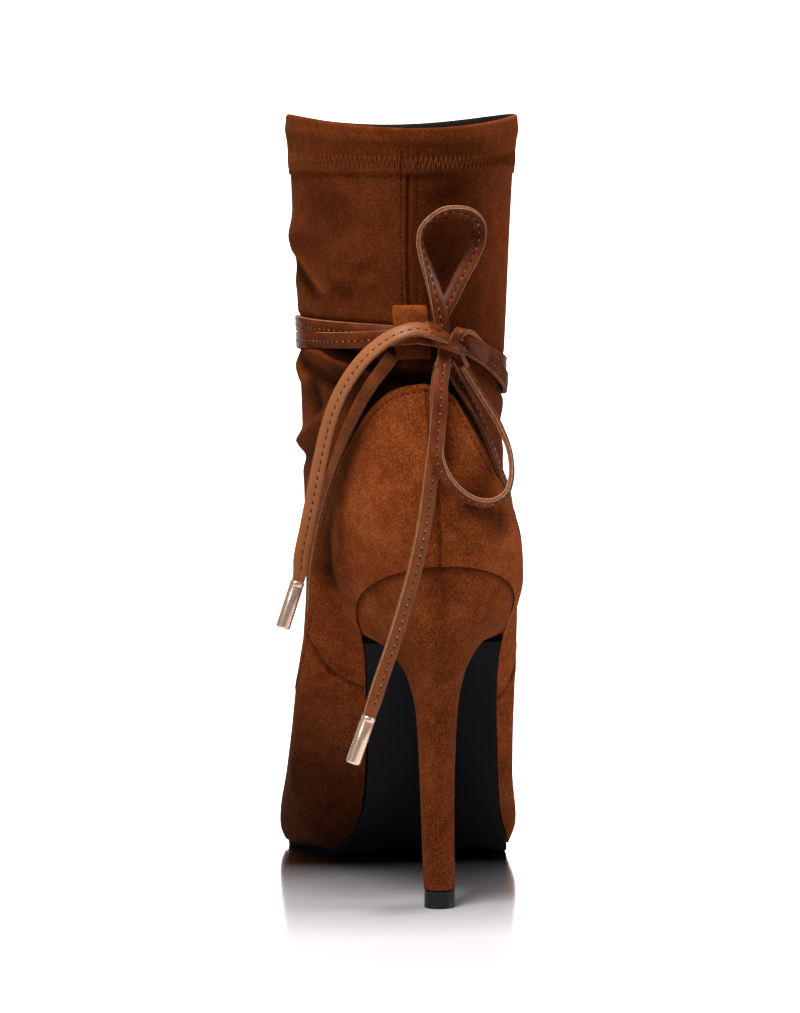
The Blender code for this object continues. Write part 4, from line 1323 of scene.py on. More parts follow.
@dataclass
class Sole:
    """Outsole, insole, covered heel and heel tip."""

    finishes: Finishes
    nodes: dict[str, Object]
    edge: float = 1.2
    thickness: float = 2.5
    bevel: float = 0.45
    breast_y: float = 41.5
    seat_half_width: float = 25.5
    corner_sharpness: int = 30
    # Tone of the heel cover: darker towards the stem, and darkest at the seat.
    seat_tone: float = -0.2
    stem_tone: float = -0.41
    seam_tone: float = -0.7
    # Height from which the tone changes, and over how much.
    tone_from: float = 104.0
    tone_over: float = 26.0
    # Points along the sole, round the heel and down it, last turn of the sole and step for its slope.
    sole_steps: int = 200
    heel_sides: int = 180
    heel_rows: int = 90
    sole_end_deg: float = 176.0
    slope_step: float = 0.05
    # Sections of the heel from the seat down: back y and z, breast y and z, middle, half width, roundness.
    heel_rings: tuple[tuple[float, ...], ...] = (
        (-20.0, 114.5, 41.3, 85.6, -0.5, 24.8, 0.05),
        (-18.8, 107.0, 35.0, 83.5, -0.7, 20.6, 0.40),
        (-16.4, 96.5, 27.0, 79.5, -0.9, 14.8, 0.80),
        (-12.6, 84.5, 18.5, 72.5, -0.9, 9.6, 1.00),
        (-9.0, 69.5, 12.5, 62.5, -0.8, 7.0, 1.00),
        (-7.2, 49.0, 8.6, 46.5, -0.8, 6.0, 1.00),
        (-6.0, 25.0, 6.6, 24.5, -0.5, 5.5, 1.00),
        (-5.3, 6.3, 5.3, 6.3, 0.0, 5.3, 1.00),
    )
    # Heel tip from its top to the floor: height and radius.
    tip_profile: tuple[Pair, ...] = (
        (6.0, 4.9), (5.85, 5.1), (3.0, 5.15), (0.6, 5.2), (0.2, 5.1), (0.0, 4.8),
    )  # fmt: skip

    def build(self) -> None:
        """Makes the pieces under the foot."""
        self.outsole()
        self.heel()
        tip = lathe("heel_tip_piece", self.tip_profile, [self.finishes.tip])
        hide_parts("heel_tip")
        for slot in self.nodes["insole"].material_slots:
            slot.material = self.finishes.lining

    def outsole(self) -> None:
        """Makes the sole: a thin plate that follows the underside, with its lower edge eased."""
        first = LAST.turn_at_y(self.breast_y + 2 * FIT_GAP)
        turns = np.linspace(first, math.radians(self.sole_end_deg), self.sole_steps)
        step = self.slope_step
        inner, outer = LAST.feather(turns, self.edge), LAST.feather(-turns, self.edge)
        tops, bases = [], []
        for ends in (inner, outer):
            slope = (LAST.bottom(ends[:, 1] + step) - LAST.bottom(ends[:, 1] - step)) / (2 * step)
            length = np.sqrt(1 + slope**2)
            down = np.stack([np.zeros_like(slope), slope / length, -1 / length], axis=1)
            down[0] = (0.0, 0.0, -length[0])
            tops.append(ends + down * FIT_GAP)
            bases.append(ends + down * (FIT_GAP + self.thickness))
        across = unit(bases[1] - bases[0]) * self.bevel
        eased = [bases[i] + unit(tops[i] - bases[i]) * self.bevel for i in (0, 1)]
        loop = [tops[0], tops[1], eased[1], bases[1] - across, bases[0] + across, eased[0]]
        points, faces = join_grids([np.stack(loop, axis=1)])
        piece = make_piece("outsole_plate", points, faces, [self.finishes.sole])
        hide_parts("outsole")

    def heel_loop(self, ring: Sequence[float], turn: Points) -> Points:
        """One section of the heel, from its back round to its breast."""
        back_y, back_z, front_y, front_z, middle, half_width, roundness = ring
        along = (1 - np.cos(turn)) / 2
        seat_y = LAST.SEAT_BACK_Y + along * (self.breast_y - LAST.SEAT_BACK_Y)
        seat_turn = np.maximum(LAST.turn_at_y(seat_y), 0.01)
        side = np.where(np.sin(turn) > 0, 1.0, -1.0)
        corner = np.sqrt(np.clip(1 - along**self.corner_sharpness, 0, 1))
        seat_half = (LAST.feather(seat_turn * side, self.edge)[:, 0] - LAST.RINGS[0][5]) * corner
        seat_half = np.where((along > 1e-9) & (along < 1 - 1e-9), seat_half, 0.0)
        ellipse = -half_width * np.sin(turn)
        drawn_in = seat_half * half_width / self.seat_half_width
        x = middle + (1 - roundness) * drawn_in + roundness * ellipse
        y = back_y + along * (front_y - back_y)
        return np.stack([x, y, back_z + along * (front_z - back_z)], axis=1)

    def heel(self) -> None:
        """Makes the slim covered heel, cupped to the seat."""
        turn = full_turn(self.heel_sides)
        back_y, middle = LAST.SEAT_BACK_Y - self.edge, LAST.RINGS[0][5]
        seat = self.heel_loop((back_y, 0.0, self.breast_y, 0.0, middle, self.seat_half_width, 0.0), turn)
        seat[:, 2] = LAST.bottom(seat[:, 1]) - FIT_GAP
        loops = [seat]
        for level in np.linspace(0, len(self.heel_rings) - 1, self.heel_rows):
            ring = [float(column[0]) for column in LAST.by_level(self.heel_rings, level)]
            loops.append(self.heel_loop(ring, turn))
        first, last = (loop * 0.5 + loop.mean(axis=0) * 0.5 for loop in (loops[0], loops[-1]))
        grid = np.stack([first, *loops, last])
        grid[0, :, 2] = LAST.bottom(grid[0, :, 1]) - FIT_GAP
        points, faces = join_grids([grid])
        down = ease((self.tone_from - points[:, 2]) / self.tone_over)
        nap = self.seat_tone + (self.stem_tone - self.seat_tone) * down
        nap[: 2 * len(turn)] = self.seam_tone
        piece = make_piece("heel_cover", points, faces, [self.finishes.shell], nap=nap)
        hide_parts("heel")


def lathe(
    name: str,
    profile: Sequence[Pair],
    finishes: Sequence[Material],
    start: Points | None = None,
    way: Points | None = None,
    sides: int = 72,
) -> Object:
    """Makes a turned piece.

    Args:
        name: Name of the piece.
        profile: Distance along the axis and radius of each ring, in millimetres.
        finishes: Materials of the piece.
        start: Where the axis starts, or None for the origin.
        way: Direction of the axis, or None for +Z.
        sides: Points round each ring.

    Returns:
        The new object.
    """
    start = np.zeros(3) if start is None else start
    way = np.array((0.0, 0.0, 1.0)) if way is None else way
    side = unit(np.cross(way, (0.0, 1.0, 0.0)))
    other = np.cross(way, side)
    turn = full_turn(sides)
    circle = np.cos(turn)[:, None] * side + np.sin(turn)[:, None] * other
    grid = np.stack([start + way * along + circle * radius for along, radius in profile])
    points, faces = join_grids([grid])
    return make_piece(name, points, faces, finishes, sharp_deg=40.0)


@dataclass(frozen=True)
class Strap:
    """Cross-section of a flat strap of two plies, in millimetres."""

    width: float
    thickness: float
    stitch_line: float = 0.35
    groove: float = 0.12
    groove_half: float = 0.4
    # How far the face stops short of the edge, and inset and drop of the rim below it.
    bevel: float = 0.2
    rim: Pair = (0.06, 0.12)
    # Shares of half the thickness where a ply's edge begins and ends, and depth of the slit between both.
    ply: Pair = (0.62, 0.12)
    slit: float = 0.14

    def section(self) -> tuple[Points, Points]:
        """Outline of the section.

        Returns:
            Places across the strap and out of its face, and the finish of the side after each: 0 for the
            face, 1 for the cut edge, 2 for its rims.
        """
        w, t, s, g = self.width / 2, self.thickness / 2, self.stitch_line, self.groove_half
        side = w - self.bevel
        (inset, drop), (begin, end) = self.rim, self.ply
        face = [(-side, t, 0), (s - g, t, 0), (s, t - self.groove, 0), (s + g, t, 0), (side, t, 0)]
        cut = [(w - inset, t - drop, 2), (w, t * begin, 1), (w, t * end, 1), (w - self.slit, 0.0, 1)]
        cut += [(w, -t * end, 1), (w, -t * begin, 2), (w - inset, drop - t, 0)]
        half = np.array(face + cut)
        other = half * (-1, -1, 1)
        rows = np.vstack([half, other])
        return rows[:, :2], rows[:, 2].astype(int)

    def frames(self, path: Points, faces: Points, closed: bool) -> tuple[Points, Points]:
        """Directions across the strap and out of its face at each point of its path."""
        if closed:
            way = unit(np.roll(path, -1, axis=0) - np.roll(path, 1, axis=0))
        else:
            way = unit(np.gradient(path, axis=0))
        across = unit(np.cross(faces, way))
        return across, np.cross(way, across)

    def loft(self, path: Points, faces: Points, closed: bool = False, widths: Points | None = None) -> Points:
        """Grid of the strap's surface.

        Args:
            path: Points down the middle of the strap.
            faces: Direction of its face at each of them.
            closed: Whether the path is a ring.
            widths: Share of the full width at each point, or None for all of it.

        Returns:
            Points, path by section by 3.
        """
        across, out = self.frames(path, faces, closed)
        section, _ = self.section()
        widths = np.ones(len(path)) if widths is None else widths
        sideways = section[:, 0][None, :, None] * across[:, None] * widths[:, None, None]
        return path[:, None] + sideways + section[:, 1][None, :, None] * out[:, None]


LACE = Strap(5.3, 1.6)


@dataclass
class Keeper:
    """Suede strap on the back seam that the lace runs through."""

    finishes: Finishes
    turn_deg: float = 3.5
    strap: Strap = Strap(11.7, 1.2, 0.0, 0.0)
    # Painted shadow of the lace on the keeper's lower part, and the height below which it lies.
    lace_shadow_tone: float = -0.55
    shaded_below: float = 193.0
    shade_over: float = 3.0
    # Spacing along the strap, and the share of its width that it loses where it bends round.
    step: float = 0.4
    bend_draw: float = 0.1
    # Height and distance from the shaft, from the upper end to the lower.
    arch: tuple[Pair, ...] = (
        (199.6, 0.8), (201.6, 0.8), (202.7, 1.2), (203.2, 1.95), (202.7, 2.7), (201.4, 3.1), (198.0, 3.2),
        (191.5, 3.2), (188.2, 3.1), (186.9, 2.7), (186.4, 1.95), (186.9, 1.2), (188.0, 0.8), (190.0, 0.8),
    )  # fmt: skip

    def build(self) -> None:
        """Makes the strap, its two ends sewn down."""
        heights, offsets = (np.array(column) for column in zip(*self.arch))
        turn = np.full(len(heights), math.radians(self.turn_deg))
        path = through(LAST.outside(turn, LAST.level_at_height(turn, heights), offsets), self.step)
        way = unit(np.gradient(path, axis=0))
        faces = np.cross((1.0, 0.0, 0.0), way)
        widths = 1 - self.bend_draw * np.abs(way[:, 1]) ** 2
        points, quads = join_grids([self.strap.loft(path, faces, widths=widths)])
        # Painted shadow of the lace over the keeper's lower part.
        nap = self.lace_shadow_tone * ease((self.shaded_below - points[:, 2]) / self.shade_over)
        piece = make_piece("keeper_strap", points, quads, [self.finishes.keeper], nap=nap)
        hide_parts("keeper_loop")


class Lay(Enum):
    """How a free stretch of lace lies."""

    LOOP = ("object", "loose")
    END = ("fitting", "hanging")


@dataclass(frozen=True)
class FreeLace:
    """A free stretch of the lace: places in millimetres, and the roll of its face in degrees."""

    name: str
    lay: Lay
    route: tuple[tuple[float, float, float, float], ...]
    # Foot of the metal tip of an end.
    tip: Triple | None = None
    # Share of the painted highlight at even places along the stretch.
    highlight_share: tuple[float, ...] = (0.0, 0.0)

    STEP = 0.9
    # Share of the full width of a stretch that hangs drawn, and of the part inside the metal tip.
    DRAWN = 0.93
    TIP_REACH = 2.0
    TIP_SHARE = 0.78
    TIP_LENGTH = 8.0
    # Last stretch without stitches.
    TIP_PLAIN = 4.0

    def run(self) -> tuple[Points, Points, Points]:
        """Path of the stretch.

        Returns:
            Its points, the direction of its face and its share of the full width at each of them.
        """
        route = [tuple(row) for row in self.route]
        if self.tip is not None:
            last = np.array(route[-1][:3])
            route.append((*(last + self.way() * self.TIP_REACH), route[-1][3]))
        rows = through(route, self.STEP)
        path, roll = rows[:, :3], np.radians(rows[:, 3:])
        way = unit(np.gradient(path, axis=0))
        behind = np.array((0.0, -1.0, 0.0))
        face = unit(behind - way * (way @ behind)[:, None])
        faces = face * np.cos(roll) + np.cross(way, face) * np.sin(roll)
        widths = np.full(len(path), self.DRAWN)
        if self.tip is not None:
            left = (len(path) - 1 - np.arange(len(path))) * self.STEP
            widths = self.TIP_SHARE + (self.DRAWN - self.TIP_SHARE) * ease(left / self.TIP_LENGTH)
        return path, faces, widths

    def way(self) -> Points:
        """Direction of the metal tip."""
        return unit(np.array(self.tip) - np.array(self.route[-1][:3]))


LOOP_UPPER = FreeLace(
    "lace_loop_upper",
    Lay.LOOP,
    (
        (-1.6, -21.0, 196.0, 10), (-3.2, -21.5, 203.6, 20), (-5.4, -20.6, 212.6, 40),
        (-8.0, -19.9, 220.2, 62), (-9.2, -19.7, 225.1, 73), (-8.4, -19.7, 229.4, 76),
        (-5.7, -19.6, 232.4, 74), (-1.7, -19.0, 234.6, 64), (3.6, -17.8, 234.8, 50),
        (8.6, -15.6, 233.2, 38), (11.2, -13.8, 230.0, 28), (11.3, -13.0, 225.6, 22),
        (9.2, -13.4, 219.9, 18), (5.1, -14.8, 212.7, 16), (1.2, -17.0, 205.5, 15),
        (-2.2, -18.6, 200.4, 10),
    ),
)  # fmt: skip
LOOP_LOWER = FreeLace(
    "lace_loop_lower",
    Lay.LOOP,
    (
        (-1.6, -22.2, 184.9, 5), (-2.7, -24.8, 179.0, 5), (-3.5, -27.6, 171.0, 5),
        (-4.6, -30.6, 161.2, 15), (-4.9, -32.2, 155.0, 35), (-2.6, -33.0, 148.8, 52),
        (2.0, -32.8, 143.4, 60), (8.0, -31.4, 139.8, 62), (13.8, -29.6, 139.3, 64),
        (18.4, -27.0, 141.7, 68), (21.0, -23.0, 147.3, 74), (21.0, -19.8, 154.6, 78),
        (18.0, -17.8, 163.3, 76), (11.4, -17.6, 174.5, 72), (5.4, -18.6, 184.2, 66),
    ),
)  # fmt: skip
END_MEDIAL = FreeLace(
    "lace_end_medial",
    Lay.END,
    (
        (-4.2, -22.6, 194.9, 46), (-10.4, -23.5, 196.3, 40), (-17.7, -23.5, 194.4, 38),
        (-25.3, -21.0, 188.9, 36), (-32.0, -16.0, 180.0, 32), (-35.9, -12.0, 171.8, 26),
        (-38.6, -9.0, 162.7, 20), (-41.0, -7.0, 151.2, 16), (-43.2, -5.5, 139.5, 14),
        (-45.4, -4.5, 128.1, 12), (-47.1, -4.0, 119.7, 8), (-47.9, -4.0, 112.1, 4),
    ),
    (-53.0, -4.0, 96.5),
    (0.2, 0.6, 0.74, 0.7, 0.62, 0.54, 0.46, 0.4, 0.36),
)  # fmt: skip
END_LATERAL = FreeLace(
    "lace_end_lateral",
    Lay.END,
    (
        (-1.6, -18.6, 184.6, 5), (-3.0, -21.2, 179.0, 5), (-3.7, -24.6, 169.4, 0),
        (-4.6, -27.2, 159.6, -6), (-6.0, -28.4, 150.7, -12), (-7.6, -28.8, 138.9, -16),
        (-9.2, -28.8, 129.3, -19), (-11.9, -28.8, 116.9, -21), (-15.5, -28.8, 104.0, -22),
        (-19.4, -28.8, 91.5, -20), (-23.1, -28.8, 80.7, -16), (-26.7, -28.8, 69.5, -10),
    ),
    (-32.6, -28.8, 52.8),
    (0.0, 0.04, 0.16, 0.26, 0.24, 0.18, 0.16, 0.18, 0.22),
)  # fmt: skip


@dataclass
class Lacing:
    """The leather lace: two turns round the ankle, two straps, and the bow behind it with its ends."""

    finishes: Finishes
    # Pale stitches on the face, partly a painted highlight on the waxed thread, and the dark thread sunk
    # between them.
    stitching: Stitching = Stitching(2.8, 0.95, 0.2)
    sunk: Stitching = Stitching(2.8, 1.5, 0.2)
    free: tuple[FreeLace, ...] = (LOOP_UPPER, LOOP_LOWER, END_MEDIAL, END_LATERAL)
    # Height of the two turns at degrees from the back, by way of the medial side.
    heights: tuple[Triple, ...] = (
        (0.0, 193.8, 193.3), (30.0, 194.8, 192.2), (90.0, 195.4, 190.0), (180.0, 188.0, 180.5),
        (270.0, 181.0, 173.5), (338.0, 191.6, 190.2), (360.0, 193.8, 193.3),
    )  # fmt: skip
    # How far the outer turn lifts over the inner one and the keeper, by the same degrees.
    lift: tuple[Pair, ...] = (
        (0.0, 3.7), (11.0, 3.7), (24.0, 2.0), (44.0, 1.8), (66.0, 0.0), (180.0, 0.0),
        (272.0, 0.0), (296.0, 1.8), (340.0, 1.9), (350.0, 2.8), (360.0, 3.7),
    )  # fmt: skip
    # The straps: degrees from the back, and level of the middle on the medial and the lateral side.
    rise: tuple[Triple, ...] = (
        (14.6, 5.06, 5.08), (18.0, 4.93, 4.66), (28.0, 4.63, 4.00), (36.0, 4.38, 3.50), (42.0, 4.19, 3.22),
        (60.0, 3.63, 3.06), (72.0, 3.46, 3.10), (86.0, 3.26, 3.14), (92.0, 3.02, 2.98), (98.0, 2.74, 2.74),
    )  # fmt: skip
    # How far a strap sinks towards its foot, which lies under the topline, by the same degrees.
    dive: tuple[Pair, ...] = ((14.6, 0.0), (76.0, 0.0), (89.0, 1.6), (98.0, 1.9))
    # Metal tips: distance from the end of the lace and radius.
    tip_profile: tuple[Pair, ...] = (
        (0.8, 1.95), (0.9, 2.2), (1.15, 2.37), (1.4, 2.4), (2.3, 2.4), (2.45, 2.3), (2.7, 2.3), (2.85, 2.4),
        (9.0, 2.4), (16.5, 2.4), (16.9, 2.37), (17.15, 2.22), (17.3, 2.0),
    )  # fmt: skip
    # How far the turns sink into the soft suede, and the share of its width to which a strap is drawn.
    sink: float = 0.8
    strap_width: float = 0.86
    knot_centre: Triple = (-0.3, -20.4, 190.9)
    knot_ring: Pair = (4.4, 3.3)
    knot_tilt_deg: float = 18.0
    knot_width: float = 0.58
    # Points round a turn, along a strap and round the knot's ring, spacing in the knot's runs, and how far
    # the stitches stand over the bottom of their groove.
    turn_steps: int = 300
    strap_steps: int = 90
    knot_steps: int = 48
    knot_step: float = 0.4
    stitch_lift: float = 0.02
    # Short runs of lace tied into the knot: places, direction of the face and share of the full width.
    knot_runs: tuple[Rows, ...] = (
        # Near legs of the two loops, drawn together.
        (
            (-1.9, -21.1, 197.4, 0.2, -1.0, 0.0, 1.0), (-1.2, -20.8, 193.6, 0.1, -1.0, 0.0, 0.75),
            (-1.2, -20.9, 188.6, 0.1, -1.0, 0.0, 0.75), (-1.9, -22.8, 183.4, 0.1, -1.0, 0.3, 1.0),
        ),
        # Far legs.
        (
            (-2.6, -18.8, 199.8, 0.2, -1.0, 0.0, 0.9), (-0.9, -19.2, 195.0, 0.2, -1.0, 0.0, 0.7),
            (2.2, -18.7, 189.2, -0.5, -0.8, 0.0, 0.7), (6.0, -18.5, 183.2, -0.8, -0.4, -0.4, 0.9),
        ),
        # Start of the inner end, which dives under the ring.
        (
            (-6.0, -22.9, 195.6, 0.0, -0.5, 0.85, 1.0), (-3.2, -22.8, 194.4, 0.1, -0.6, 0.8, 0.9),
            (-0.4, -23.1, 192.9, 0.2, -0.7, 0.6, 0.75), (2.0, -22.2, 191.0, 0.4, -0.8, 0.4, 0.6),
        ),
        # Start of the outer end.
        (
            (0.8, -18.6, 189.8, 0.0, -1.0, 0.0, 0.7), (-0.6, -18.4, 187.0, 0.0, -1.0, 0.0, 0.8),
            (-1.9, -19.2, 183.2, 0.0, -1.0, 0.2, 1.0),
        ),
        # Tuck at the upper left, folded over towards the back.
        (
            (-5.2, -18.4, 193.4, 0.0, 1.0, 0.1, 0.8), (-5.5, -18.5, 196.0, 0.0, 1.0, 0.2, 0.84),
            (-5.5, -19.4, 197.6, 0.0, 0.4, 0.9, 0.66), (-5.2, -20.4, 198.0, 0.0, 0.0, 1.0, 0.56),
            (-5.0, -21.4, 197.6, 0.0, -0.5, 0.9, 0.64), (-4.4, -22.2, 196.0, 0.1, -1.0, 0.3, 0.84),
            (-3.2, -22.0, 193.4, 0.1, -1.0, 0.1, 0.7),
        ),
        # Curl at the upper right, which folds back and runs out over the turn round the ankle.
        (
            (1.2, -22.0, 190.0, 0.2, -1.0, 0.1, 0.55), (2.0, -23.4, 192.6, 0.2, -1.0, 0.1, 0.62),
            (3.0, -23.6, 194.4, 0.2, -0.9, 0.4, 0.7), (4.2, -22.8, 195.5, 0.2, -0.4, 0.9, 0.75),
            (5.4, -21.0, 195.5, 0.2, 0.1, 1.0, 0.78), (6.6, -19.0, 194.7, 0.2, 0.4, 0.9, 0.82),
            (8.2, -15.8, 193.0, 0.0, 0.7, 0.7, 0.9), (10.0, -12.4, 190.9, -0.25, 0.85, 0.45, 1.0),
            (12.4, -9.0, 188.5, -0.42, 0.88, 0.2, 1.0), (15.2, -5.6, 186.4, -0.52, 0.84, 0.1, 1.0),
        ),
    )  # fmt: skip

    def build(self) -> None:
        """Makes the bow first, then what lies on the ankle."""
        for lace in self.free:
            self.hang(lace)
        self.knot()
        rings = [self.wrap(column) for column in (1, 2)]
        self.lay("lace_turns", "lace_wraps", rings)
        for side in Side:
            self.climb(side)

    def pressing(self) -> list[Points]:
        """Paths of the lace that presses the shaft in."""
        rings = [self.wrap(column)[0] for column in (1, 2)]
        return [np.vstack([ring, ring[:1]]) for ring in rings] + [self.strap(side)[0] for side in Side]

    def wrap(self, column: int) -> Run:
        """Path and faces of one turn round the ankle: 1 for the inner one, 2 for the outer one."""
        turn = full_turn(self.turn_steps)
        degrees = np.degrees(turn)
        heights = smooth([row[0] for row in self.heights], [row[column] for row in self.heights], degrees)
        lift = smooth(*zip(*self.lift), degrees) if column == 2 else 0.0
        level = LAST.level_at_height(turn, heights)
        offset = FIT_GAP + LACE.thickness / 2 - self.sink + lift
        return LAST.outside(turn, level, offset), LAST.normal(turn, level)

    def strap(self, side: Side) -> Run:
        """Path and faces of the strap from the topline up to the keeper."""
        degrees = np.linspace(self.rise[0][0], self.rise[-1][0], self.strap_steps)
        turn = side.value * np.radians(degrees)
        turns, medial, lateral = zip(*self.rise)
        level = smooth(turns, medial if side is Side.MEDIAL else lateral, degrees)
        offset = FIT_GAP + LACE.thickness / 2 - smooth(*zip(*self.dive), degrees)
        return LAST.outside(turn, level, offset), LAST.normal(turn, level)

    def sew(self, runs: Sequence[Run], closed: bool) -> list[Surface]:
        """Pale stitches, then dark ones, on both faces of stretches of lace."""
        pale, dark = [], []
        height = LACE.thickness / 2 - LACE.groove + self.stitch_lift
        for path, faces in runs:
            across, out = LACE.frames(path, faces, closed)
            for face in (1, -1):
                line = path + face * (across * LACE.stitch_line + out * height)
                pale.append(self.stitching.row(line, face * out))
                dark.append(self.sunk.row(line, face * out, self.sunk.pitch / 2))
        return [merge(pale), merge(dark)]

    def slots(self, grids: Sequence[Points], closed: bool) -> Points:
        """Place of each face's finish: face, cut edge or rim."""
        _, cut = LACE.section()
        slots = []
        for grid in grids:
            slots.append(np.tile(cut, len(grid) if closed else len(grid) - 1))
            if not closed:
                slots.append(np.ones(2, int))
        return np.concatenate(slots)

    def sewn_piece(
        self,
        name: str,
        grids: Sequence[Points],
        closed: bool,
        flesh: bool = False,
        highlight_share: Points | None = None,
    ) -> Object:
        """Makes one piece from stretches of lace.

        Args:
            name: Name of the piece.
            grids: Surface of each stretch.
            closed: Whether each stretch is a ring.
            flesh: Whether the dull flesh side shows.
            highlight_share: Share of the painted highlight at each point, or None.

        Returns:
            The new object.
        """
        points, quads = join_grids(grids, closed)
        face = self.finishes.lace_back if flesh else self.finishes.lace
        leathers = [face, self.finishes.cut_edge, self.finishes.rim_wear_and_highlight]
        piece = make_piece(name, points, quads, leathers, self.slots(grids, closed), nap=highlight_share)
        return piece

    def thread_piece(self, name: str, runs: Sequence[Run], closed: bool) -> Object:
        """Makes the stitches of stretches of lace."""
        rows = self.sew(runs, closed)
        slots = np.repeat((0, 1), [len(faces) for _, faces in rows])
        piece = make_piece(name, *merge(rows), [self.finishes.lace_thread_and_highlight, self.finishes.suede_thread], slots)
        return piece

    def lay(self, name: str, node: str, runs: Sequence[Run]) -> None:
        """Makes rings of lace that lie on the boot.

        Args:
            name: Name of the piece.
            node: Solid that it stands for.
            runs: Path and faces of each ring.
        """
        piece = self.sewn_piece(name, [LACE.loft(path, faces, True) for path, faces in runs], True)
        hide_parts(node)
        self.thread_piece(f"stitches_{node}", runs, True)

    def climb(self, side: Side) -> None:
        """Makes the strap of one side, drawn narrow: the inner one shows its flesh side."""
        node = f"lace_strap_{side.name.lower()}"
        path, faces = self.strap(side)
        widths = np.full(len(path), self.strap_width)
        inner = side is Side.MEDIAL
        piece = self.sewn_piece(f"{node}_laid", [LACE.loft(path, faces, widths=widths)], False, inner)
        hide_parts(node)
        if not inner:
            self.thread_piece(f"stitches_{node}", [(path, faces)], False)

    def hang(self, lace: FreeLace) -> None:
        """Makes a free stretch of lace, its stitches and the metal tip of an end."""
        path, faces, widths = lace.run()
        grid = LACE.loft(path, faces, widths=widths)
        # Painted highlight along the stretch.
        highlight_share = np.interp(np.linspace(0, 1, len(path)), np.linspace(0, 1, len(lace.highlight_share)), lace.highlight_share)
        piece = self.sewn_piece(f"{lace.name}_sewn", [grid], False, highlight_share=np.repeat(highlight_share, grid.shape[1]))
        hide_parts(lace.name)
        shown = len(path) if lace.tip is None else len(path) - round(lace.TIP_PLAIN / lace.STEP)
        others = [self.thread_piece(f"stitches_{lace.name}", [(path[:shown], faces[:shown])], False)]
        if lace.tip is not None:
            others.append(self.cap(lace))

    def cap(self, lace: FreeLace) -> Object:
        """Makes the metal tip of a lace end."""
        node = lace.name.replace("lace_end", "aglet")
        start = np.array(lace.route[-1][:3])
        piece = lathe(f"{node}_turned", self.tip_profile, [self.finishes.gold], start, lace.way())
        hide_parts(node)
        return piece

    def knot(self) -> None:
        """Makes the knot: a ring of lace drawn tight round the runs that pass through it."""
        turn = full_turn(self.knot_steps)
        wide, deep = self.knot_ring
        tilt = math.tan(math.radians(self.knot_tilt_deg))
        ring = np.stack([wide * np.cos(turn), deep * np.sin(turn), -tilt * wide * np.cos(turn)], axis=1)
        outs = unit(np.stack([np.cos(turn) / wide, np.sin(turn) / deep, np.zeros_like(turn)], axis=1))
        band = LACE.loft(ring + self.knot_centre, outs, True, np.full(len(turn), self.knot_width))
        grids = [np.vstack([band, band[:1]])]
        for run in self.knot_runs:
            rows = through(run, self.knot_step)
            grids.append(LACE.loft(rows[:, :3], rows[:, 3:6], widths=rows[:, 6]))
        piece = self.sewn_piece("lace_knot_tied", grids, False)
        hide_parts("lace_knot")


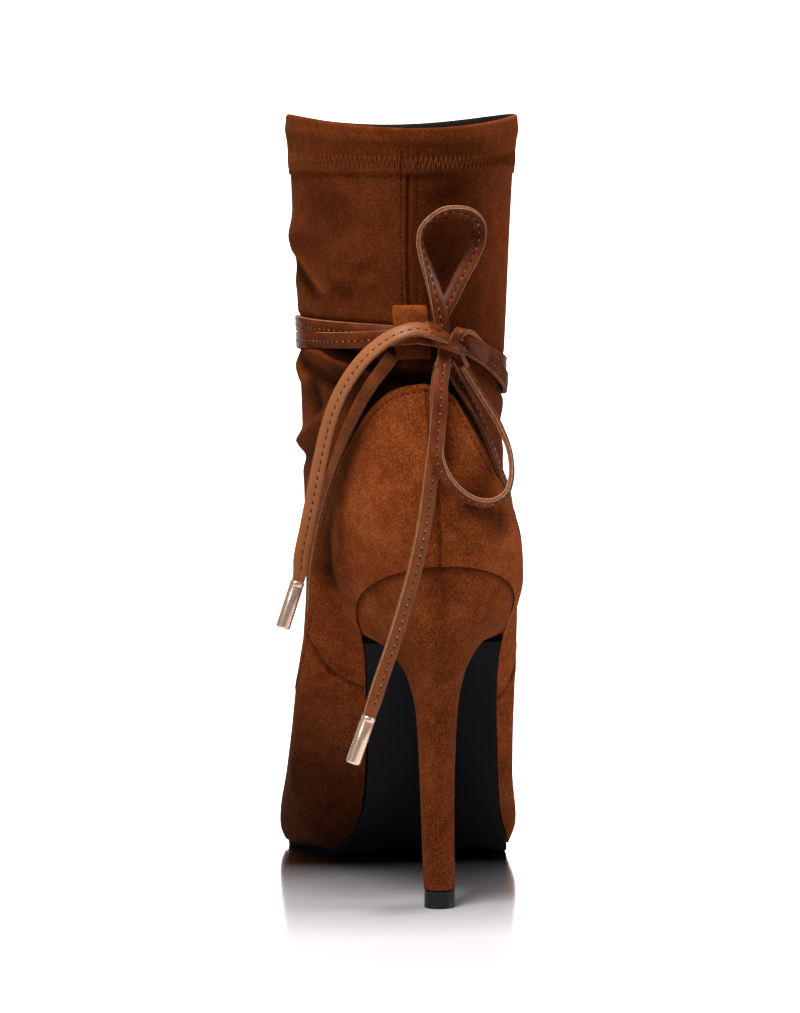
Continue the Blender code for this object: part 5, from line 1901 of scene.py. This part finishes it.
@dataclass
class Studio:
    """Camera at the photograph's angle, white glossy floor with a sweep behind it, and soft lights."""

    azimuth_deg: float = 5.4
    distance: float = 1.80
    sideways: float = 0.05
    height: float = 0.297
    # Sizes of the picture in pixels: focal length, longer side, and how far the aim lies off the level line.
    focal: float = 5400.0
    longer_side: float = 1013.0
    aim_right: float = 110.0
    aim_down: float = 484.5
    sensor_mm: float = 36.0
    world: float = 0.06
    backdrop: float = 1.6
    # Along the foot, in metres: where the floor mirrors nothing and everything.
    mirror: Pair = (-0.06, 0.101)
    # Left and right edge of the floor and its sweep, in metres.
    sides: Pair = (-0.6, 0.8)
    # Near edge of the floor, start and radius of the sweep's bend, and its top, in metres.
    near_edge: float = -0.26
    bend_start: float = 1.6
    bend_radius: float = 1.2
    bend_steps: int = 24
    top: float = 4.0
    clip_end: float = 50.0
    # Name, place, size and power of each lamp, in metres and watts.
    lamps: tuple[tuple[str, Triple, float, float], ...] = (
        ("lamp_right", (1.8, -0.2, 1.0), 0.9, 15.0),
        ("lamp_left", (-1.6, -1.1, 1.0), 0.9, 7.0),
        ("lamp_key", (-0.5, -0.76, 2.15), 0.6, 48.0),
        ("lamp_top", (0.0, 0.2, 2.1), 1.2, 15.0),
    )
    aim: Triple = (0.0, 0.04, 0.13)

    def build(self) -> None:
        """Sets up camera, floor and lights."""
        scene = bpy.context.scene
        scene.view_settings.view_transform = "Standard"
        self.camera()
        self.floor()
        for name, place, size, power in self.lamps:
            light = bpy.data.lights.new(name, "AREA")
            light.shape = "DISK"
            light.size = size
            light.energy = power
            lamp = bpy.data.objects.new(name, light)
            lamp.location = place
            lamp.rotation_euler = (Vector(self.aim) - Vector(place)).to_track_quat("-Z", "Y").to_euler()
            scene.collection.objects.link(lamp)
        world = bpy.data.worlds.new("studio_air")
        world.use_nodes = True
        background = world.node_tree.nodes["Background"]
        background.inputs["Color"].default_value = linear("#ffffff")
        background.inputs["Strength"].default_value = self.world
        scene.world = world

    def camera(self) -> None:
        """Places the camera behind the heel."""
        angle = math.radians(self.azimuth_deg)
        forward = Vector((math.sin(angle), math.cos(angle), 0.0))
        right = Vector((math.cos(angle), -math.sin(angle), 0.0))
        data = bpy.data.cameras.new("camera")
        data.sensor_width = self.sensor_mm
        data.lens = self.sensor_mm * self.focal / self.longer_side
        data.clip_end = self.clip_end
        camera = bpy.data.objects.new("camera", data)
        camera.location = Vector((0.0, 0.0, self.height)) - forward * self.distance - right * self.sideways
        look = forward * self.focal + right * self.aim_right - Vector((0.0, 0.0, self.aim_down))
        camera.rotation_euler = look.to_track_quat("-Z", "Y").to_euler()
        bpy.context.scene.collection.objects.link(camera)
        bpy.context.scene.camera = camera

    def floor(self) -> None:
        """Makes the floor, which sweeps up behind the boot."""
        start, radius = self.bend_start, self.bend_radius
        profile = [(self.near_edge, 0.0), (start, 0.0)]
        for turn in np.linspace(0, math.pi / 2, self.bend_steps)[1:]:
            profile.append((start + radius * math.sin(turn), radius - radius * math.cos(turn)))
        profile.append((start + radius, self.top))
        rows = np.array([[(x, y, z) for x in self.sides] for y, z in profile])
        mesh = bpy.data.meshes.new("studio_sweep")
        mesh.from_pydata(rows.reshape(-1, 3).tolist(), [], grid_faces(len(rows), 2, wrap_columns=False))
        mesh.materials.append(self.gloss())
        mesh.materials.append(self.lit_paper())
        mesh.polygons.foreach_set("material_index", [0] + [1] * (len(mesh.polygons) - 1))
        mesh.shade_smooth()
        floor = bpy.data.objects.new("studio_sweep", mesh)
        bpy.context.scene.collection.objects.link(floor)

    def gloss(self) -> Material:
        """White acrylic of the floor: it mirrors the boot at the sole, and less towards the camera."""
        material, tree, shader = new_surface("acrylic_gloss_white")
        place = add_node(tree, "ShaderNodeTexCoord").outputs["Object"]
        axes = add_node(tree, "ShaderNodeSeparateXYZ", links={"Vector": place})
        fade = add_range(tree, axes.outputs["Y"], self.mirror, (0.0, 1.0))
        tree.links.new(fade, shader.inputs["Metallic"])
        shader.inputs["Base Color"].default_value = linear("#eae6ea")
        shader.inputs["Roughness"].default_value = 0.12
        shader.inputs["Specular IOR Level"].default_value = 0.01
        return material

    def lit_paper(self) -> Material:
        """White paper of the sweep, lit evenly by lamps of its own."""
        material, _, shader = new_surface("paper_lit_white")
        shader.inputs["Base Color"].default_value = linear("#f4f4f6")
        shader.inputs["Roughness"].default_value = 0.9
        shader.inputs["Emission Color"].default_value = linear("#ffffff")
        shader.inputs["Emission Strength"].default_value = self.backdrop
        return material


def main() -> None:
    """Builds the boot on its frame, and the studio round it."""
    logging.basicConfig(level=logging.INFO, format="%(name)s: %(message)s")
    for thing in list(bpy.data.objects):
        bpy.data.objects.remove(thing)
    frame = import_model()
    finishes = Finishes()
    Studio().build()
    lacing = Lacing(finishes)
    lacing.build()
    Keeper(finishes).build()
    Shell(finishes).build()
    Shaft(finishes).build(lacing.pressing())
    Sole(finishes, frame["nodes"]).build()


if __name__ == "__main__":
    main()
